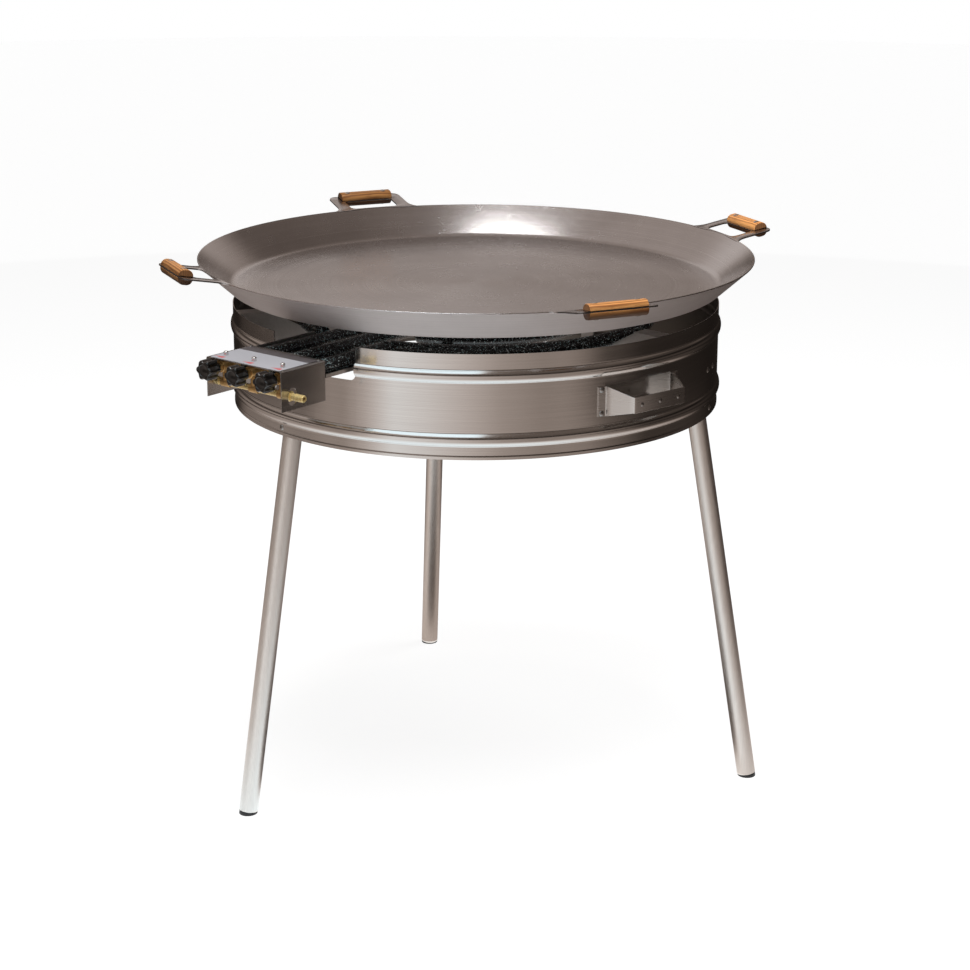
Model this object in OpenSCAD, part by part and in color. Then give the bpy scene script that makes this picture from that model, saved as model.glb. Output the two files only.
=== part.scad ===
// Paella burner on three splayed legs, with a four-handled pan.
// Frame: Z up, floor at Z = 0, drum axis on Z, control panel towards -Y.

/* [Pan] */
// Outer radius of the pan at its rim
pan_rim_r = 480; // [440:1:560]
// Height of the pan's underside above the floor
pan_base_z = 850; // [840:1:880]
// Depth of the pan from underside to rim
pan_depth = 52; // [40:1:70]
// Slope of the pan wall above level, in degrees
pan_wall_deg = 42; // [35:1:60]
// Radius of the bend between floor and wall, on the underside
pan_bend_r = 25; // [12:1:40]
// Sheet thickness of the pan and its tabs
pan_sheet = 2.5; // [1.5:0.1:4]

/* [Pan handles] */
// Direction of the first handle, in degrees
handle_az = 63; // [50:1:75]
// Upward slope of the handle tabs, in degrees
tab_slope_deg = 10; // [4:1:20]
// Width of a tab along the rim
tab_w = 142; // [135:1:170]
// Reach of a tab past the rim, along its slope
tab_reach = 72; // [68:1:80]
// Radius of the hollow corners where a tab leaves the rim
tab_root_r = 26; // [8:1:32]
// Radius of the outer corners of a tab
tab_corner_r = 14; // [6:1:20]
// Length of the finger slot
slot_len = 94; // [80:1:110]
// Width of the finger slot
slot_w = 42; // [20:1:43]
// Distance from the rim to the finger slot
slot_from_rim = 2; // [1.5:0.5:4]
// Radius of the corners of the finger slot
slot_corner_r = 9; // [4:1:10]
// Length of a wooden grip
grip_len = 102; // [90:1:120]
// Width of a wooden grip
grip_w = 26; // [23:1:27]
// Thickness of each half of a grip
grip_half_t = 11.5; // [8:0.5:15]
// Radius of the long edges of a grip
grip_edge_r = 10.5; // [3:0.5:11]
// Radius of the end edges of a grip
grip_end_r = 4; // [2:0.5:8]
// Diameter of a grip rivet
grip_rivet_d = 6; // [4:0.5:8]
// Distance between the two rivets of a grip
grip_rivet_gap = 72; // [50:1:80]

/* [Drum] */
// Outer radius of the drum shell
drum_r = 421; // [415:1:440]
// Height of the lower edge of the drum
drum_z0 = 652; // [630:1:660]
// Height of the upper edge of the drum
drum_z1 = 825; // [822:1:830]
// Sheet thickness of the drum
drum_sheet = 1.2; // [0.8:0.1:2]
// Width of a rolled bead
bead_h = 21; // [8:0.5:22]
// How far a bead stands out
bead_out = 4.5; // [2:0.5:5.5]
// Distance from the upper edge down to the upper bead
bead_top_drop = 37; // [30:1:40]
// Distance from the lower edge up to the lower bead
bead_low_rise = 32; // [31:1:44]
// Width of the cut-out for the burner tubes
cutout_w = 178; // [172:1:190]
// Depth of the cut-out below the upper edge
cutout_depth = 55; // [50:1:62]
// Radius of the lower corners of the cut-out
cutout_r = 10; // [4:1:16]

/* [Legs] */
// Direction of the first leg, in degrees
leg_az = 20; // [15:1:26]
// Outside diameter of a leg tube
leg_d = 32; // [26:0.5:33]
// Wall of a leg tube
leg_wall = 1.5; // [1:0.1:3]
// Gap between a leg socket and the shell, at the lower edge of the drum
leg_gap = 2.75; // [1:0.05:6]
// Slope of the legs from upright, in degrees
leg_splay_deg = 9.64; // [9:0.01:10]
// Height that a leg runs up inside the drum
leg_rise = 87.4; // [70:0.1:95]
// Depth of a leg in its socket
socket_depth = 85; // [60:1:86]
// Wall of a leg socket
socket_wall = 2.2; // [1.5:0.1:2.4]
// Gap between a leg and its socket
leg_fit = 0.3; // [0.1:0.05:0.4]
// Height of the black foot that shows below the tube
foot_show = 5; // [3:0.5:15]

/* [Support brackets] */
// Direction of the first bracket, in degrees
bracket_az = -4; // [-5:0.5:-3]
// Plate thickness of a bracket
bracket_t = 3; // [2:0.5:5]
// Reach of the top flange inward from the shell
bracket_flange_reach = 51; // [40:1:55]
// Width of the top flange and of the welded end flange
bracket_flange_w = 30; // [20:1:34]
// Width of the upright finger that carries the pan
finger_w = 26; // [15:1:28]

/* [Burner] */
// Height of the centres of the burner tubes and rings
burner_z = 798; // [797:0.5:798.5]
// Outside diameter of the mixer tubes
tube_d = 25; // [22:0.5:25.5]
// Outside diameter of the ring tubes
ring_d = 26; // [22:0.5:27]
// Wall of the tubes and rings
burner_wall = 2; // [1:0.1:3]
// Centreline radius of the outer ring
ring_outer_r = 300; // [295:1:305]
// Centreline radius of the middle ring
ring_middle_r = 200; // [180:1:210]
// Centreline radius of the inner ring
ring_inner_r = 100; // [80:1:110]
// Distance of the tube mouths from the drum axis
tube_mouth_y = 508; // [500:1:512]
// Width of the flat spider bars
spider_bar_w = 20; // [12:1:30]
// Thickness of the flat spider bars
spider_bar_t = 4; // [3:0.5:6]

/* [Control panel] */
// Width of the cover
cover_w = 163; // [160:1:168]
// Room between the outermost tap axes and the cover's sides
tap_side_room = 19.5; // [18.5:0.5:21]
// Depth of the cover, front to back
cover_depth = 100; // [95:1:104]
// Height of the cover's side plates
cover_h = 65.5; // [60:0.5:80]
// Sheet thickness of the cover
cover_sheet = 1.2; // [0.8:0.1:1.5]
// Height of the cover's top face
cover_top_z = 814; // [813.5:0.5:816]
// Distance of the cover's front edge from the drum axis
cover_front_y = 573; // [570:1:574]
// Distance of the manifold and tap columns from the drum axis
tap_y = 548; // [546:1:550]
// Depth of the manifold below the tap axes
manifold_drop = 28; // [25:0.5:30]
// Outside diameter of the manifold pipe
manifold_d = 11; // [10.5:0.5:15]
// Bore of the manifold pipe
manifold_bore = 8; // [7:0.5:8]
// Outside diameter of the hose tail
tail_d = 12; // [10:0.5:14]
// Length of the plain hose tail
tail_len = 18; // [14:1:25]
// Bore of the hose nozzle
tail_bore = 6; // [4:0.5:6]
// Largest diameter of a knob
knob_d = 35; // [28:0.5:38]
// Depth of a knob's lobed body
knob_depth = 23; // [16:0.5:28]
// Travel of a knob when it is pushed in
knob_push = 3; // [2:0.5:3.5]
// Number of lobes of a knob
knob_lobes = 6; // [5:1:8]

/* [Carry handles] */
// Direction of the first carry handle, in degrees
carry_az = -11; // [-13:0.5:-10]
// Width of a carry handle at the shell
carry_root_w = 149; // [140:1:152]
// Width of a carry handle's front plate
carry_front_w = 115; // [100:1:130]
// Distance that the front plate stands off the shell
carry_reach = 44; // [35:1:60]
// Height of the flanges and the roots of the side plates
carry_root_h = 49; // [44:1:60]
// Height of the front plate
carry_front_h = 26.5; // [24:0.5:40]
// Sheet thickness of a carry handle
carry_sheet = 2; // [1.5:0.1:3]

/* [Hidden] */
$fn = 96;
// Overrun of cuts past the faces that they leave, and a small sunk joint within one piece
cut_over = 1;
weld_in = 0.4;

// Colours
steel = [0.70, 0.67, 0.63];
pan_steel = [0.78, 0.76, 0.73];
oak = [0.67, 0.38, 0.16];
enamel = [0.07, 0.08, 0.09];
brass = [0.80, 0.62, 0.25];
black = [0.05, 0.05, 0.05];

// Counts and directions
leg_count = 3;
bracket_count = 3;
handle_count = 4;
carry_count = 2;
tap_count = 3;
function spread(i, n, first) = first + 360 * i / n;
// Distance between neighbouring tubes and taps
tap_pitch = (cover_w - 2 * tap_side_room) / (tap_count - 1);
function tap_x(i) = (i - (tap_count - 1) / 2) * tap_pitch;

// Pan profile
pan_floor_r = pan_rim_r - pan_bend_r * sin(pan_wall_deg)
    - (pan_depth - pan_bend_r * (1 - cos(pan_wall_deg))) / tan(pan_wall_deg);
pan_rim_z = pan_base_z + pan_depth;
pan_bend_steps = 8;
function pan_bend(r) = [for (i = [0 : pan_bend_steps])
    let (a = pan_wall_deg * i / pan_bend_steps)
    [pan_floor_r + r * sin(a), pan_base_z + pan_bend_r - r * cos(a)]];
pan_edge_r = pan_rim_r - pan_sheet * sin(pan_wall_deg);
pan_edge_z = pan_rim_z + pan_sheet * cos(pan_wall_deg);

// Tabs start inside the rim and lie in a sloping plane through the middle of its edge
tab_start_r = pan_edge_r;
tab_start_z = (pan_rim_z + pan_edge_z) / 2 - pan_sheet / 2;
tab_overlap = 14;
// Hollow root corners touch a circle just inside the rim and the straight side of the tab
root_rim_r = pan_edge_r - pan_sheet / 2;
root_mid_y = tab_w / 2 + tab_root_r;
root_mid_x = sqrt(pow(root_rim_r + tab_root_r, 2) - pow(root_mid_y, 2)) - tab_start_r;
root_touch_y = root_mid_y * root_rim_r / (root_rim_r + tab_root_r);
grip_mid = tab_reach - grip_w / 2;
grip_rivet_head_share = 0.85;
grip_rivet_head_h = 1.2;

// Drum
drum_in_r = drum_r - drum_sheet;
drum_h = drum_z1 - drum_z0;
bead_r = (bead_h * bead_h / 4 + bead_out * bead_out) / (2 * bead_out);
bead_zs = [drum_z0 + bead_low_rise, drum_z1 - bead_top_drop];
cutout_z = drum_z1 - cutout_depth;
hem_h = 4;
hem_t = 0.8;

// Fasteners on the shell: shank and head radii, head height, nut radius and height
shell_screw_r = 2.5;
shell_screw_head_r = 5;
shell_screw_head_h = 2.4;
shell_nut_r = 4.6;
shell_nut_h = 3.2;

// Legs and sockets, measured along a leg axis from the floor
leg_r = leg_d / 2;
leg_bore_r = leg_r - leg_wall;
leg_len = (drum_z0 + leg_rise) / cos(leg_splay_deg);
foot_spigot = 25;
foot_under = leg_r;
socket_w0 = leg_len - socket_depth;
socket_cap = 3;
socket_r = leg_r + leg_fit + socket_wall;
socket_bore_r = leg_r + leg_fit;
leg_floor_r = drum_in_r - socket_r - leg_gap + drum_z0 * tan(leg_splay_deg);
function leg_axis_r(z) = leg_floor_r - z * tan(leg_splay_deg);
socket_edge = 4;
socket_plate_h = 89;
socket_plate_t = 2;
socket_plate_deg = 11;
socket_z0 = drum_z0 + socket_edge;
socket_z1 = socket_z0 + socket_plate_h;
socket_web_t = 16;
socket_web_rise = 10;
socket_web_z0 = socket_z0 + socket_web_rise;
socket_screw_drop = 10.5;
socket_screw_z = socket_z1 - socket_screw_drop;
socket_screw_half_deg = 2.25;
lock_screw_rise = 9;
lock_screw_z = socket_z0 + lock_screw_rise;
lock_screw_in = drum_sheet + socket_plate_t;

// Support brackets
bracket_in_r = drum_in_r - bracket_flange_reach;
bracket_top_z = drum_z1;
bracket_h = 85;
bracket_low_z = drum_z1 - bracket_h;
ring_r = ring_d / 2;
finger_gap = 17;
finger_under = 15;
finger_r1 = ring_outer_r - ring_r - finger_gap;
finger_r0 = finger_r1 - finger_w;
finger_low_z = burner_z - ring_r - finger_under;
notch_share = 0.6;
notch_rise_share = 0.35;
notch_low_z = burner_z - ring_r * notch_share;
notch_side_z = notch_low_z + ring_r * notch_rise_share;
pan_seat_gap = 0.05;
pad_top_z = pan_base_z - pan_seat_gap;
pad_t = 3;
pad_w = 20;
bracket_flange_deg = bracket_flange_w / drum_in_r * 180 / PI;
bracket_flange_rise = 2;
bracket_flange_low_z = bracket_low_z + bracket_flange_rise;

// Burner rings
tube_r = tube_d / 2;
tube_bore_r = tube_r - burner_wall;
ring_bore_r = ring_r - burner_wall;
ring_end_room = 25;
function ring_deg(x, r) = asin(x / r);
outer_feed_deg = -90 + ring_deg(tap_pitch, ring_outer_r);
outer_end_deg = 270 - ring_deg(tap_pitch + tube_r + ring_end_room, ring_outer_r);
middle_feed_deg = 270 - ring_deg(tap_pitch, ring_middle_r);
middle_end_deg = -90 + ring_deg(tube_r + ring_end_room, ring_middle_r);
spider_az = 56;
spider_r1 = ring_outer_r + ring_r;
spider_hub_share = 0.62;
spider_bore_share = 0.42;
spider_hub_r1 = ring_inner_r * spider_hub_share;
spider_hub_r0 = ring_inner_r * spider_bore_share;
spider_z = burner_z - ring_r;

// Tray under the tubes
tray_sheet = 1.2;
tray_z = burner_z - tube_r;
tray_ring_gap = 12;
tray_tap_gap = 32;
tray_in_y = ring_outer_r + ring_r + tray_ring_gap;
tray_out_y = tap_y - tray_tap_gap;
tray_half = cover_w / 2 - cover_sheet;
tray_lip_h = 5;
tray_wall_gap = 3;
tray_wall_z = cover_top_z - tray_wall_gap;
cover_back_y = cover_front_y - cover_depth;
tray_wall_out_y = cover_back_y - tray_wall_gap;
saddle_w = 44;
saddle_depth = 12;
saddle_lip = 7;
saddle_lip_t = 3;
saddle_gap = 0.4;

// Cover and strap
cover_under_z = cover_top_z - cover_sheet;
strap_t = 1.5;
strap_w = 12;
strap_inset = 1;
strap_y = cover_back_y + strap_inset;
inlet_slot_w = 18;
inlet_slot_h = 28;
cover_screw_r = 2;
cover_screw_head_r = 3.5;
cover_screw_head_h = 1.8;
cover_screw_len = 5;
cover_screw_edge = 6;
cover_screw_x = tray_half - cover_screw_edge;
cover_screw_y = strap_y + strap_w / 2;
dome_r = 4;
dome_h = 7.5;
dome_screw_r = 2;
dome_screw_len = 8;

// Taps: distances run outward from the drum axis
manifold_z = burner_z - manifold_drop;
manifold_r = manifold_d / 2;
manifold_bore_r = manifold_bore / 2;
column_r = 6.5;
barrel_r = 9.5;
barrel_back = 24;
barrel_front = 14;
barrel_y0 = tap_y - barrel_back;
barrel_y1 = tap_y + barrel_front;
bonnet_r = 9;
bonnet_h = 5;
tap_saddle_wall = 2;
saddle_r = manifold_r + tap_saddle_wall;
tap_saddle_w = 18;
plug_r = 5;
plug_fit = 0.05;
plug_back = 15;
plug_front = 12;
plug_y0 = tap_y - plug_back;
plug_y1 = tap_y + plug_front;
plug_end_gap = 0.3;
spindle_r = 2.5;
spindle_fit = 0.05;
spindle_back = 3;
spindle_y0 = tap_y - spindle_back;
push_room = knob_push + 1;
spindle_bore_y0 = spindle_y0 - push_room;
neck_r = 9;
neck_y0 = barrel_y1 + bonnet_h + push_room;
knob_y0 = cover_front_y + push_room;
knob_y1 = knob_y0 + knob_depth;
knob_edge = 2.5;
knob_core_share = 0.80;
knob_lobe_share = 0.20;
knob_front_wall = 8;
knob_bore_y1 = knob_y1 - knob_front_wall;
knob_dish_share = 0.55;
knob_dish_depth = 1.2;
injector_r = 4;
injector_len = 20;
injector_bore_r = 0.8;

// Manifold
collar_gap = 1;
manifold_end = 14;
manifold_x0 = -tap_pitch - manifold_end;
manifold_x1 = tap_pitch + tap_saddle_w / 2 + collar_gap;
end_cap_h = 3.5;
end_cap_wall = 1.5;
end_cap_r = manifold_r + end_cap_wall;
end_spigot = 6;
collar_wall = 3;
collar_r = manifold_r + collar_wall;
collar_w = 8;
nozzle_step = 0.8;
nozzle_neck_r = tail_d / 2 - nozzle_step;
nozzle_neck_len = 8;
tail_chamfer = 1;

// Carry handles
carry_rise = 83.5;
carry_mid_z = drum_z0 + carry_rise;
carry_flange_w = 14;
carry_front_drop = 1;
carry_run = carry_reach;
carry_in = (carry_root_w - carry_front_w) / 2;
carry_turn_deg = atan(carry_in / carry_run);
carry_screw_rise = 19.5;
carry_bar_t = 6;
carry_bar_h = 20;
carry_bar_short = 8;
carry_rivet_r = 2;
carry_rivet_head_r = 3.5;
carry_rivet_head_h = 1.4;
carry_rivet_gap = 40;
carry_root_deg = carry_root_w / 2 / drum_r * 180 / PI;
carry_flange_deg = carry_flange_w / drum_r * 180 / PI;
carry_screw_deg = carry_root_deg + carry_flange_deg / 2;
carry_tuck = 2;
carry_tuck_deg = carry_tuck / drum_r * 180 / PI;

// Placing helpers
module at_az(deg) { rotate([0, 0, deg]) children(); }
module out_along_y(y) { translate([0, -y, 0]) rotate([90, 0, 0]) children(); }
module in_tab_plane(i) {
    at_az(spread(i, handle_count, handle_az))
        translate([tab_start_r, 0, tab_start_z])
            rotate([0, -tab_slope_deg, 0]) children();
}
module on_leg_axis(i) {
    at_az(spread(i, leg_count, leg_az))
        translate([leg_floor_r, 0, 0])
            rotate([0, -leg_splay_deg, 0]) children();
}
// Places a child with +Z pointing outward along a shell radius
module on_shell(deg, z) { at_az(deg) translate([drum_r, 0, z]) rotate([0, 90, 0]) children(); }
module ring_plate(r0, r1, z0, z1, deg0, deg1) {
    at_az(deg0) rotate_extrude(angle = deg1 - deg0)
        translate([r0, z0]) square([r1 - r0, z1 - z0]);
}
// Plate in the upright plane of a radius, centred on it
module radial_plate(points, t) { rotate([90, 0, 0]) translate([0, 0, -t / 2]) linear_extrude(t) polygon(points); }
// Rectangle with chosen corner radius on its two far corners
module far_rounded(l, w, r) {
    translate([0, -w / 2]) square([l - r, w]);
    translate([0, -w / 2 + r]) square([l, w - 2 * r]);
    for (s = [-1, 1]) translate([l - r, s * (w / 2 - r)]) circle(r);
}
// Rectangle standing on its base with rounded upper corners
module top_rounded(w, h, r) {
    translate([-w / 2, 0]) square([w, h - r]);
    translate([-w / 2 + r, 0]) square([w - 2 * r, h]);
    for (s = [-1, 1]) translate([s * (w / 2 - r), h - r]) circle(r);
}
module round_rect(l, w, r) {
    square([l - 2 * r, w], center = true);
    square([l, w - 2 * r], center = true);
    for (s = [-1, 1]) for (t = [-1, 1]) translate([s * (l / 2 - r), t * (w / 2 - r)]) circle(r);
}
module obround(l, w) {
    square([l - w, w], center = true);
    for (s = [-1, 1]) translate([s * (l - w) / 2, 0]) circle(w / 2);
}

// Pan
module pan_bowl() {
    rotate_extrude() polygon(concat(
        [[0, pan_base_z]], pan_bend(pan_bend_r), [[pan_rim_r, pan_rim_z], [pan_edge_r, pan_edge_z]],
        [for (i = [pan_bend_steps : -1 : 0]) pan_bend(pan_bend_r - pan_sheet)[i]],
        [[0, pan_base_z + pan_sheet]]));
}
module tab_outline() {
    difference() {
        union() {
            translate([-tab_overlap, 0]) far_rounded(tab_reach + tab_overlap, tab_w, tab_corner_r);
            translate([-tab_overlap, -root_touch_y]) square([root_mid_x + tab_overlap, 2 * root_touch_y]);
        }
        for (s = [-1, 1]) translate([root_mid_x, s * root_mid_y]) circle(tab_root_r);
        translate([slot_from_rim + slot_w / 2, 0]) round_rect(slot_w, slot_len, slot_corner_r);
    }
}
module grip_rivet_places() {
    for (s = [-1, 1]) translate([grip_mid, s * grip_rivet_gap / 2, 0]) children();
}
module pan() {
    color(pan_steel) union() {
        pan_bowl();
        for (i = [0 : handle_count - 1]) difference() {
            in_tab_plane(i) difference() {
                linear_extrude(pan_sheet) tab_outline();
                grip_rivet_places() translate([0, 0, -cut_over])
                    cylinder(d = grip_rivet_d, h = pan_sheet + 2 * cut_over);
            }
            cylinder(r = pan_edge_r, h = 2 * pan_rim_z);
        }
    }
}
module grip_half() {
    difference() {
        intersection() {
            translate([grip_mid, grip_len / 2, 0]) rotate([90, 0, 0])
                linear_extrude(grip_len) top_rounded(grip_w, grip_half_t, grip_edge_r);
            translate([grip_mid - grip_w / 2, 0, 0]) rotate([90, 0, 90])
                linear_extrude(grip_w) top_rounded(grip_len, grip_half_t, grip_end_r);
        }
        grip_rivet_places() translate([0, 0, -cut_over])
            cylinder(d = grip_rivet_d, h = grip_half_t + 2 * cut_over);
    }
}
module grip_upper(i) { color(oak) in_tab_plane(i) translate([0, 0, pan_sheet]) grip_half(); }
module grip_lower(i) { color(oak) in_tab_plane(i) mirror([0, 0, 1]) grip_half(); }
module grip_rivets() {
    rivet_h = 2 * grip_half_t + pan_sheet;
    color(steel) for (i = [0 : handle_count - 1]) in_tab_plane(i) grip_rivet_places() {
        translate([0, 0, -grip_half_t]) cylinder(d = grip_rivet_d, h = rivet_h);
        translate([0, 0, -grip_half_t - grip_rivet_head_h])
            cylinder(r = grip_rivet_d * grip_rivet_head_share, h = grip_rivet_head_h);
        translate([0, 0, grip_half_t + pan_sheet])
            cylinder(r = grip_rivet_d * grip_rivet_head_share, h = grip_rivet_head_h);
    }
}

// Drum
module shell_profile() {
    difference() {
        union() {
            translate([drum_in_r, drum_z0]) square([drum_sheet, drum_h]);
            translate([drum_r - weld_in, drum_z0]) square([hem_t + weld_in, hem_h]);
            for (z = bead_zs) intersection() {
                translate([drum_r + bead_out - bead_r, z]) circle(bead_r);
                translate([drum_in_r, z - bead_h]) square([bead_h, 2 * bead_h]);
            }
        }
        for (z = bead_zs) translate([drum_r + bead_out - bead_r, z]) circle(bead_r - drum_sheet);
    }
}
module cutout_outline() {
    rotate([0, 0, -90]) far_rounded(cutout_depth, cutout_w, cutout_r);
    translate([-cutout_w / 2, -cut_over]) square([cutout_w, 2 * cut_over]);
}
module leg_screw_places(i) {
    deg = spread(i, leg_count, leg_az);
    for (s = [-1, 1]) on_shell(deg + s * socket_screw_half_deg, socket_screw_z) children();
}
module carry_screw_places() {
    for (i = [0 : carry_count - 1]) for (s = [-1, 1]) for (t = [-1, 1])
        on_shell(spread(i, carry_count, carry_az) + s * carry_screw_deg,
            carry_mid_z + t * carry_screw_rise) children();
}
module screw_hole() { translate([0, 0, -drum_r / 2]) cylinder(r = shell_screw_r, h = drum_r); }
module drum_shell() {
    color(steel) difference() {
        rotate_extrude() shell_profile();
        translate([0, 0, drum_z1]) out_along_y(0) linear_extrude(2 * drum_r) cutout_outline();
        for (i = [0 : leg_count - 1]) {
            leg_screw_places(i) screw_hole();
            on_shell(spread(i, leg_count, leg_az), lock_screw_z) screw_hole();
        }
        carry_screw_places() screw_hole();
    }
}

// Support brackets
function bracket_outline() = [[drum_in_r - weld_in, bracket_low_z], [drum_in_r - weld_in, bracket_top_z],
    [bracket_in_r, bracket_top_z], [ring_outer_r + ring_r, notch_side_z],
    [ring_outer_r, notch_low_z], [finger_r1, notch_low_z], [finger_r1, pad_top_z],
    [finger_r0, pad_top_z], [finger_r0, finger_low_z]];
module support_bracket(i) {
    color(steel) at_az(spread(i, bracket_count, bracket_az)) difference() {
        union() {
            radial_plate(bracket_outline(), bracket_t);
            intersection() {
                translate([bracket_in_r, -bracket_flange_w / 2, bracket_top_z - bracket_t])
                    cube([bracket_flange_reach, bracket_flange_w, bracket_t]);
                cylinder(r = drum_in_r, h = 2 * drum_z1);
            }
            translate([finger_r0, -pad_w / 2, pad_top_z - pad_t]) cube([finger_w, pad_w, pad_t]);
            ring_plate(drum_in_r - bracket_t, drum_in_r, bracket_flange_low_z, bracket_top_z,
                -bracket_flange_deg / 2, bracket_flange_deg / 2);
        }
        rotate([0, 0, -90]) rotate_extrude(angle = 180) translate([ring_outer_r, burner_z]) circle(ring_r);
    }
}

// Leg sockets and legs
module leg_socket(i) {
    color(steel) difference() {
        union() {
            on_leg_axis(i) translate([0, 0, socket_w0])
                cylinder(r = socket_r, h = socket_depth + socket_cap);
            at_az(spread(i, leg_count, leg_az)) {
                ring_plate(drum_in_r - socket_plate_t, drum_in_r, socket_z0, socket_z1,
                    -socket_plate_deg / 2, socket_plate_deg / 2);
                radial_plate([[leg_axis_r(socket_web_z0), socket_web_z0],
                    [drum_in_r - weld_in, socket_web_z0], [drum_in_r - weld_in, socket_z1],
                    [leg_axis_r(socket_z1), socket_z1]], socket_web_t);
            }
        }
        on_leg_axis(i) cylinder(r = socket_bore_r, h = leg_len);
        leg_screw_places(i) screw_hole();
        on_shell(spread(i, leg_count, leg_az), lock_screw_z)
            translate([0, 0, -lock_screw_in]) cylinder(r = shell_screw_r, h = lock_screw_in);
    }
}
module screw_head(r, h) {
    intersection() {
        cylinder(r = r, h = h);
        translate([0, 0, h - (r * r + h * h) / (2 * h)]) sphere((r * r + h * h) / (2 * h));
    }
}
// Screw through the shell and a layer behind it, with a nut inside
module shell_screw(stack_out, stack_in) {
    translate([0, 0, -stack_in - shell_nut_h]) cylinder(r = shell_screw_r, h = stack_in + shell_nut_h + stack_out);
    translate([0, 0, stack_out]) screw_head(shell_screw_head_r, shell_screw_head_h);
    translate([0, 0, -stack_in - shell_nut_h]) cylinder(r = shell_nut_r, h = shell_nut_h, $fn = 6);
}
module leg_socket_screws() {
    color(steel) for (i = [0 : leg_count - 1]) leg_screw_places(i) {
        translate([0, 0, -lock_screw_in]) cylinder(r = shell_screw_r, h = lock_screw_in);
        screw_head(shell_screw_head_r, shell_screw_head_h);
    }
}
module leg_lock_screws() {
    color(steel) for (i = [0 : leg_count - 1]) on_shell(spread(i, leg_count, leg_az), lock_screw_z) {
        translate([0, 0, -lock_screw_in]) cylinder(r = shell_screw_r, h = lock_screw_in);
        screw_head(shell_screw_head_r, shell_screw_head_h);
    }
}
module leg(i) {
    color(steel) on_leg_axis(i) translate([0, 0, foot_show]) difference() {
        cylinder(r = leg_r, h = leg_len - foot_show);
        translate([0, 0, -cut_over]) cylinder(r = leg_bore_r, h = leg_len + cut_over);
    }
}
module leg_foot(i) {
    color(black) difference() {
        on_leg_axis(i) {
            translate([0, 0, -foot_under]) cylinder(r = leg_r, h = foot_under + foot_show);
            cylinder(r = leg_bore_r, h = foot_show + foot_spigot);
        }
        at_az(spread(i, leg_count, leg_az)) translate([leg_floor_r, 0, -2 * leg_d])
            cylinder(r = 2 * leg_d, h = 2 * leg_d);
    }
}

// Burner
module ring_arc(r, section_r, deg0, deg1) {
    at_az(deg0) rotate_extrude(angle = deg1 - deg0) translate([r, 0]) circle(section_r);
}
module feed_tube(x, y_in, section_r, over) {
    translate([x, 0, 0]) out_along_y(y_in) cylinder(r = section_r, h = tube_mouth_y - y_in + over);
}
// Arc of pipe closed at its far end, fed by a straight tube that runs out to its mouth
module fed_ring(r, x, deg_feed, deg_end, y_in) {
    inset = burner_wall / r * 180 / PI;
    turn = deg_end > deg_feed ? 1 : -1;
    lo = min(deg_feed, deg_end);
    hi = max(deg_feed, deg_end);
    translate([0, 0, burner_z]) difference() {
        union() {
            ring_arc(r, ring_r, lo, hi);
            translate([r * cos(deg_feed), r * sin(deg_feed), 0]) sphere(ring_r);
            feed_tube(x, y_in, tube_r, 0);
        }
        ring_arc(r, ring_bore_r, lo + (turn < 0 ? inset : 0), hi - (turn > 0 ? inset : 0));
        feed_tube(x, y_in, tube_bore_r, cut_over);
    }
}
module burner_ring_outer() {
    color(enamel) fed_ring(ring_outer_r, tap_pitch, outer_feed_deg, outer_end_deg,
        ring_outer_r * cos(ring_deg(tap_pitch, ring_outer_r)));
}
module burner_ring_middle() {
    color(enamel) fed_ring(ring_middle_r, -tap_pitch, middle_feed_deg, middle_end_deg,
        ring_middle_r * cos(ring_deg(tap_pitch, ring_middle_r)));
}
module burner_ring_inner() {
    color(enamel) translate([0, 0, burner_z]) difference() {
        union() {
            rotate_extrude() translate([ring_inner_r, 0]) circle(ring_r);
            feed_tube(0, ring_inner_r, tube_r, 0);
        }
        rotate_extrude() translate([ring_inner_r, 0]) circle(ring_bore_r);
        feed_tube(0, ring_inner_r, tube_bore_r, cut_over);
    }
}
module burner_spider() {
    color(steel) translate([0, 0, spider_z - spider_bar_t]) linear_extrude(spider_bar_t) {
        difference() {
            circle(spider_hub_r1);
            circle(spider_hub_r0);
        }
        for (i = [0 : bracket_count - 1]) rotate(spread(i, bracket_count, spider_az))
            translate([(spider_hub_r0 + spider_hub_r1) / 2, -spider_bar_w / 2])
                square([spider_r1 - (spider_hub_r0 + spider_hub_r1) / 2, spider_bar_w]);
    }
}

// Tray, strap and cover
module tube_tray() {
    color(steel) union() {
        translate([-tray_half, -tray_out_y, tray_z - tray_sheet])
            cube([2 * tray_half, tray_out_y - tray_in_y, tray_sheet]);
        translate([tray_half - tray_sheet, -tray_wall_out_y, tray_z - tray_sheet])
            cube([tray_sheet, tray_wall_out_y - tray_in_y, tray_sheet + tray_lip_h]);
        translate([-tray_half, -tray_wall_out_y, tray_z - tray_sheet])
            cube([tray_sheet, tray_wall_out_y - tray_in_y, tray_wall_z - tray_z + tray_sheet]);
    }
}
module tray_saddle() {
    saddle_h = tray_z - tray_sheet - cutout_z;
    color(steel) union() {
        translate([-saddle_w / 2, -drum_r - saddle_gap - saddle_lip_t, cutout_z])
            cube([saddle_w, saddle_depth, saddle_h]);
        translate([-saddle_w / 2, -drum_r - saddle_gap - saddle_lip_t, cutout_z - saddle_lip])
            cube([saddle_w, saddle_lip_t, saddle_lip + weld_in]);
    }
}
module cover_strap() {
    color(steel) difference() {
        union() {
            translate([-tray_half, -strap_y - strap_w, cover_under_z - strap_t])
                cube([2 * tray_half, strap_w, strap_t]);
            for (s = [0, 1]) translate([s * (2 * tray_half - strap_t) - tray_half, -strap_y - strap_w, tray_z])
                cube([strap_t, strap_w, cover_under_z - tray_z]);
        }
        cover_screw_places() translate([0, 0, -cover_screw_len]) cylinder(r = cover_screw_r, h = cover_screw_len);
    }
}
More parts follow.
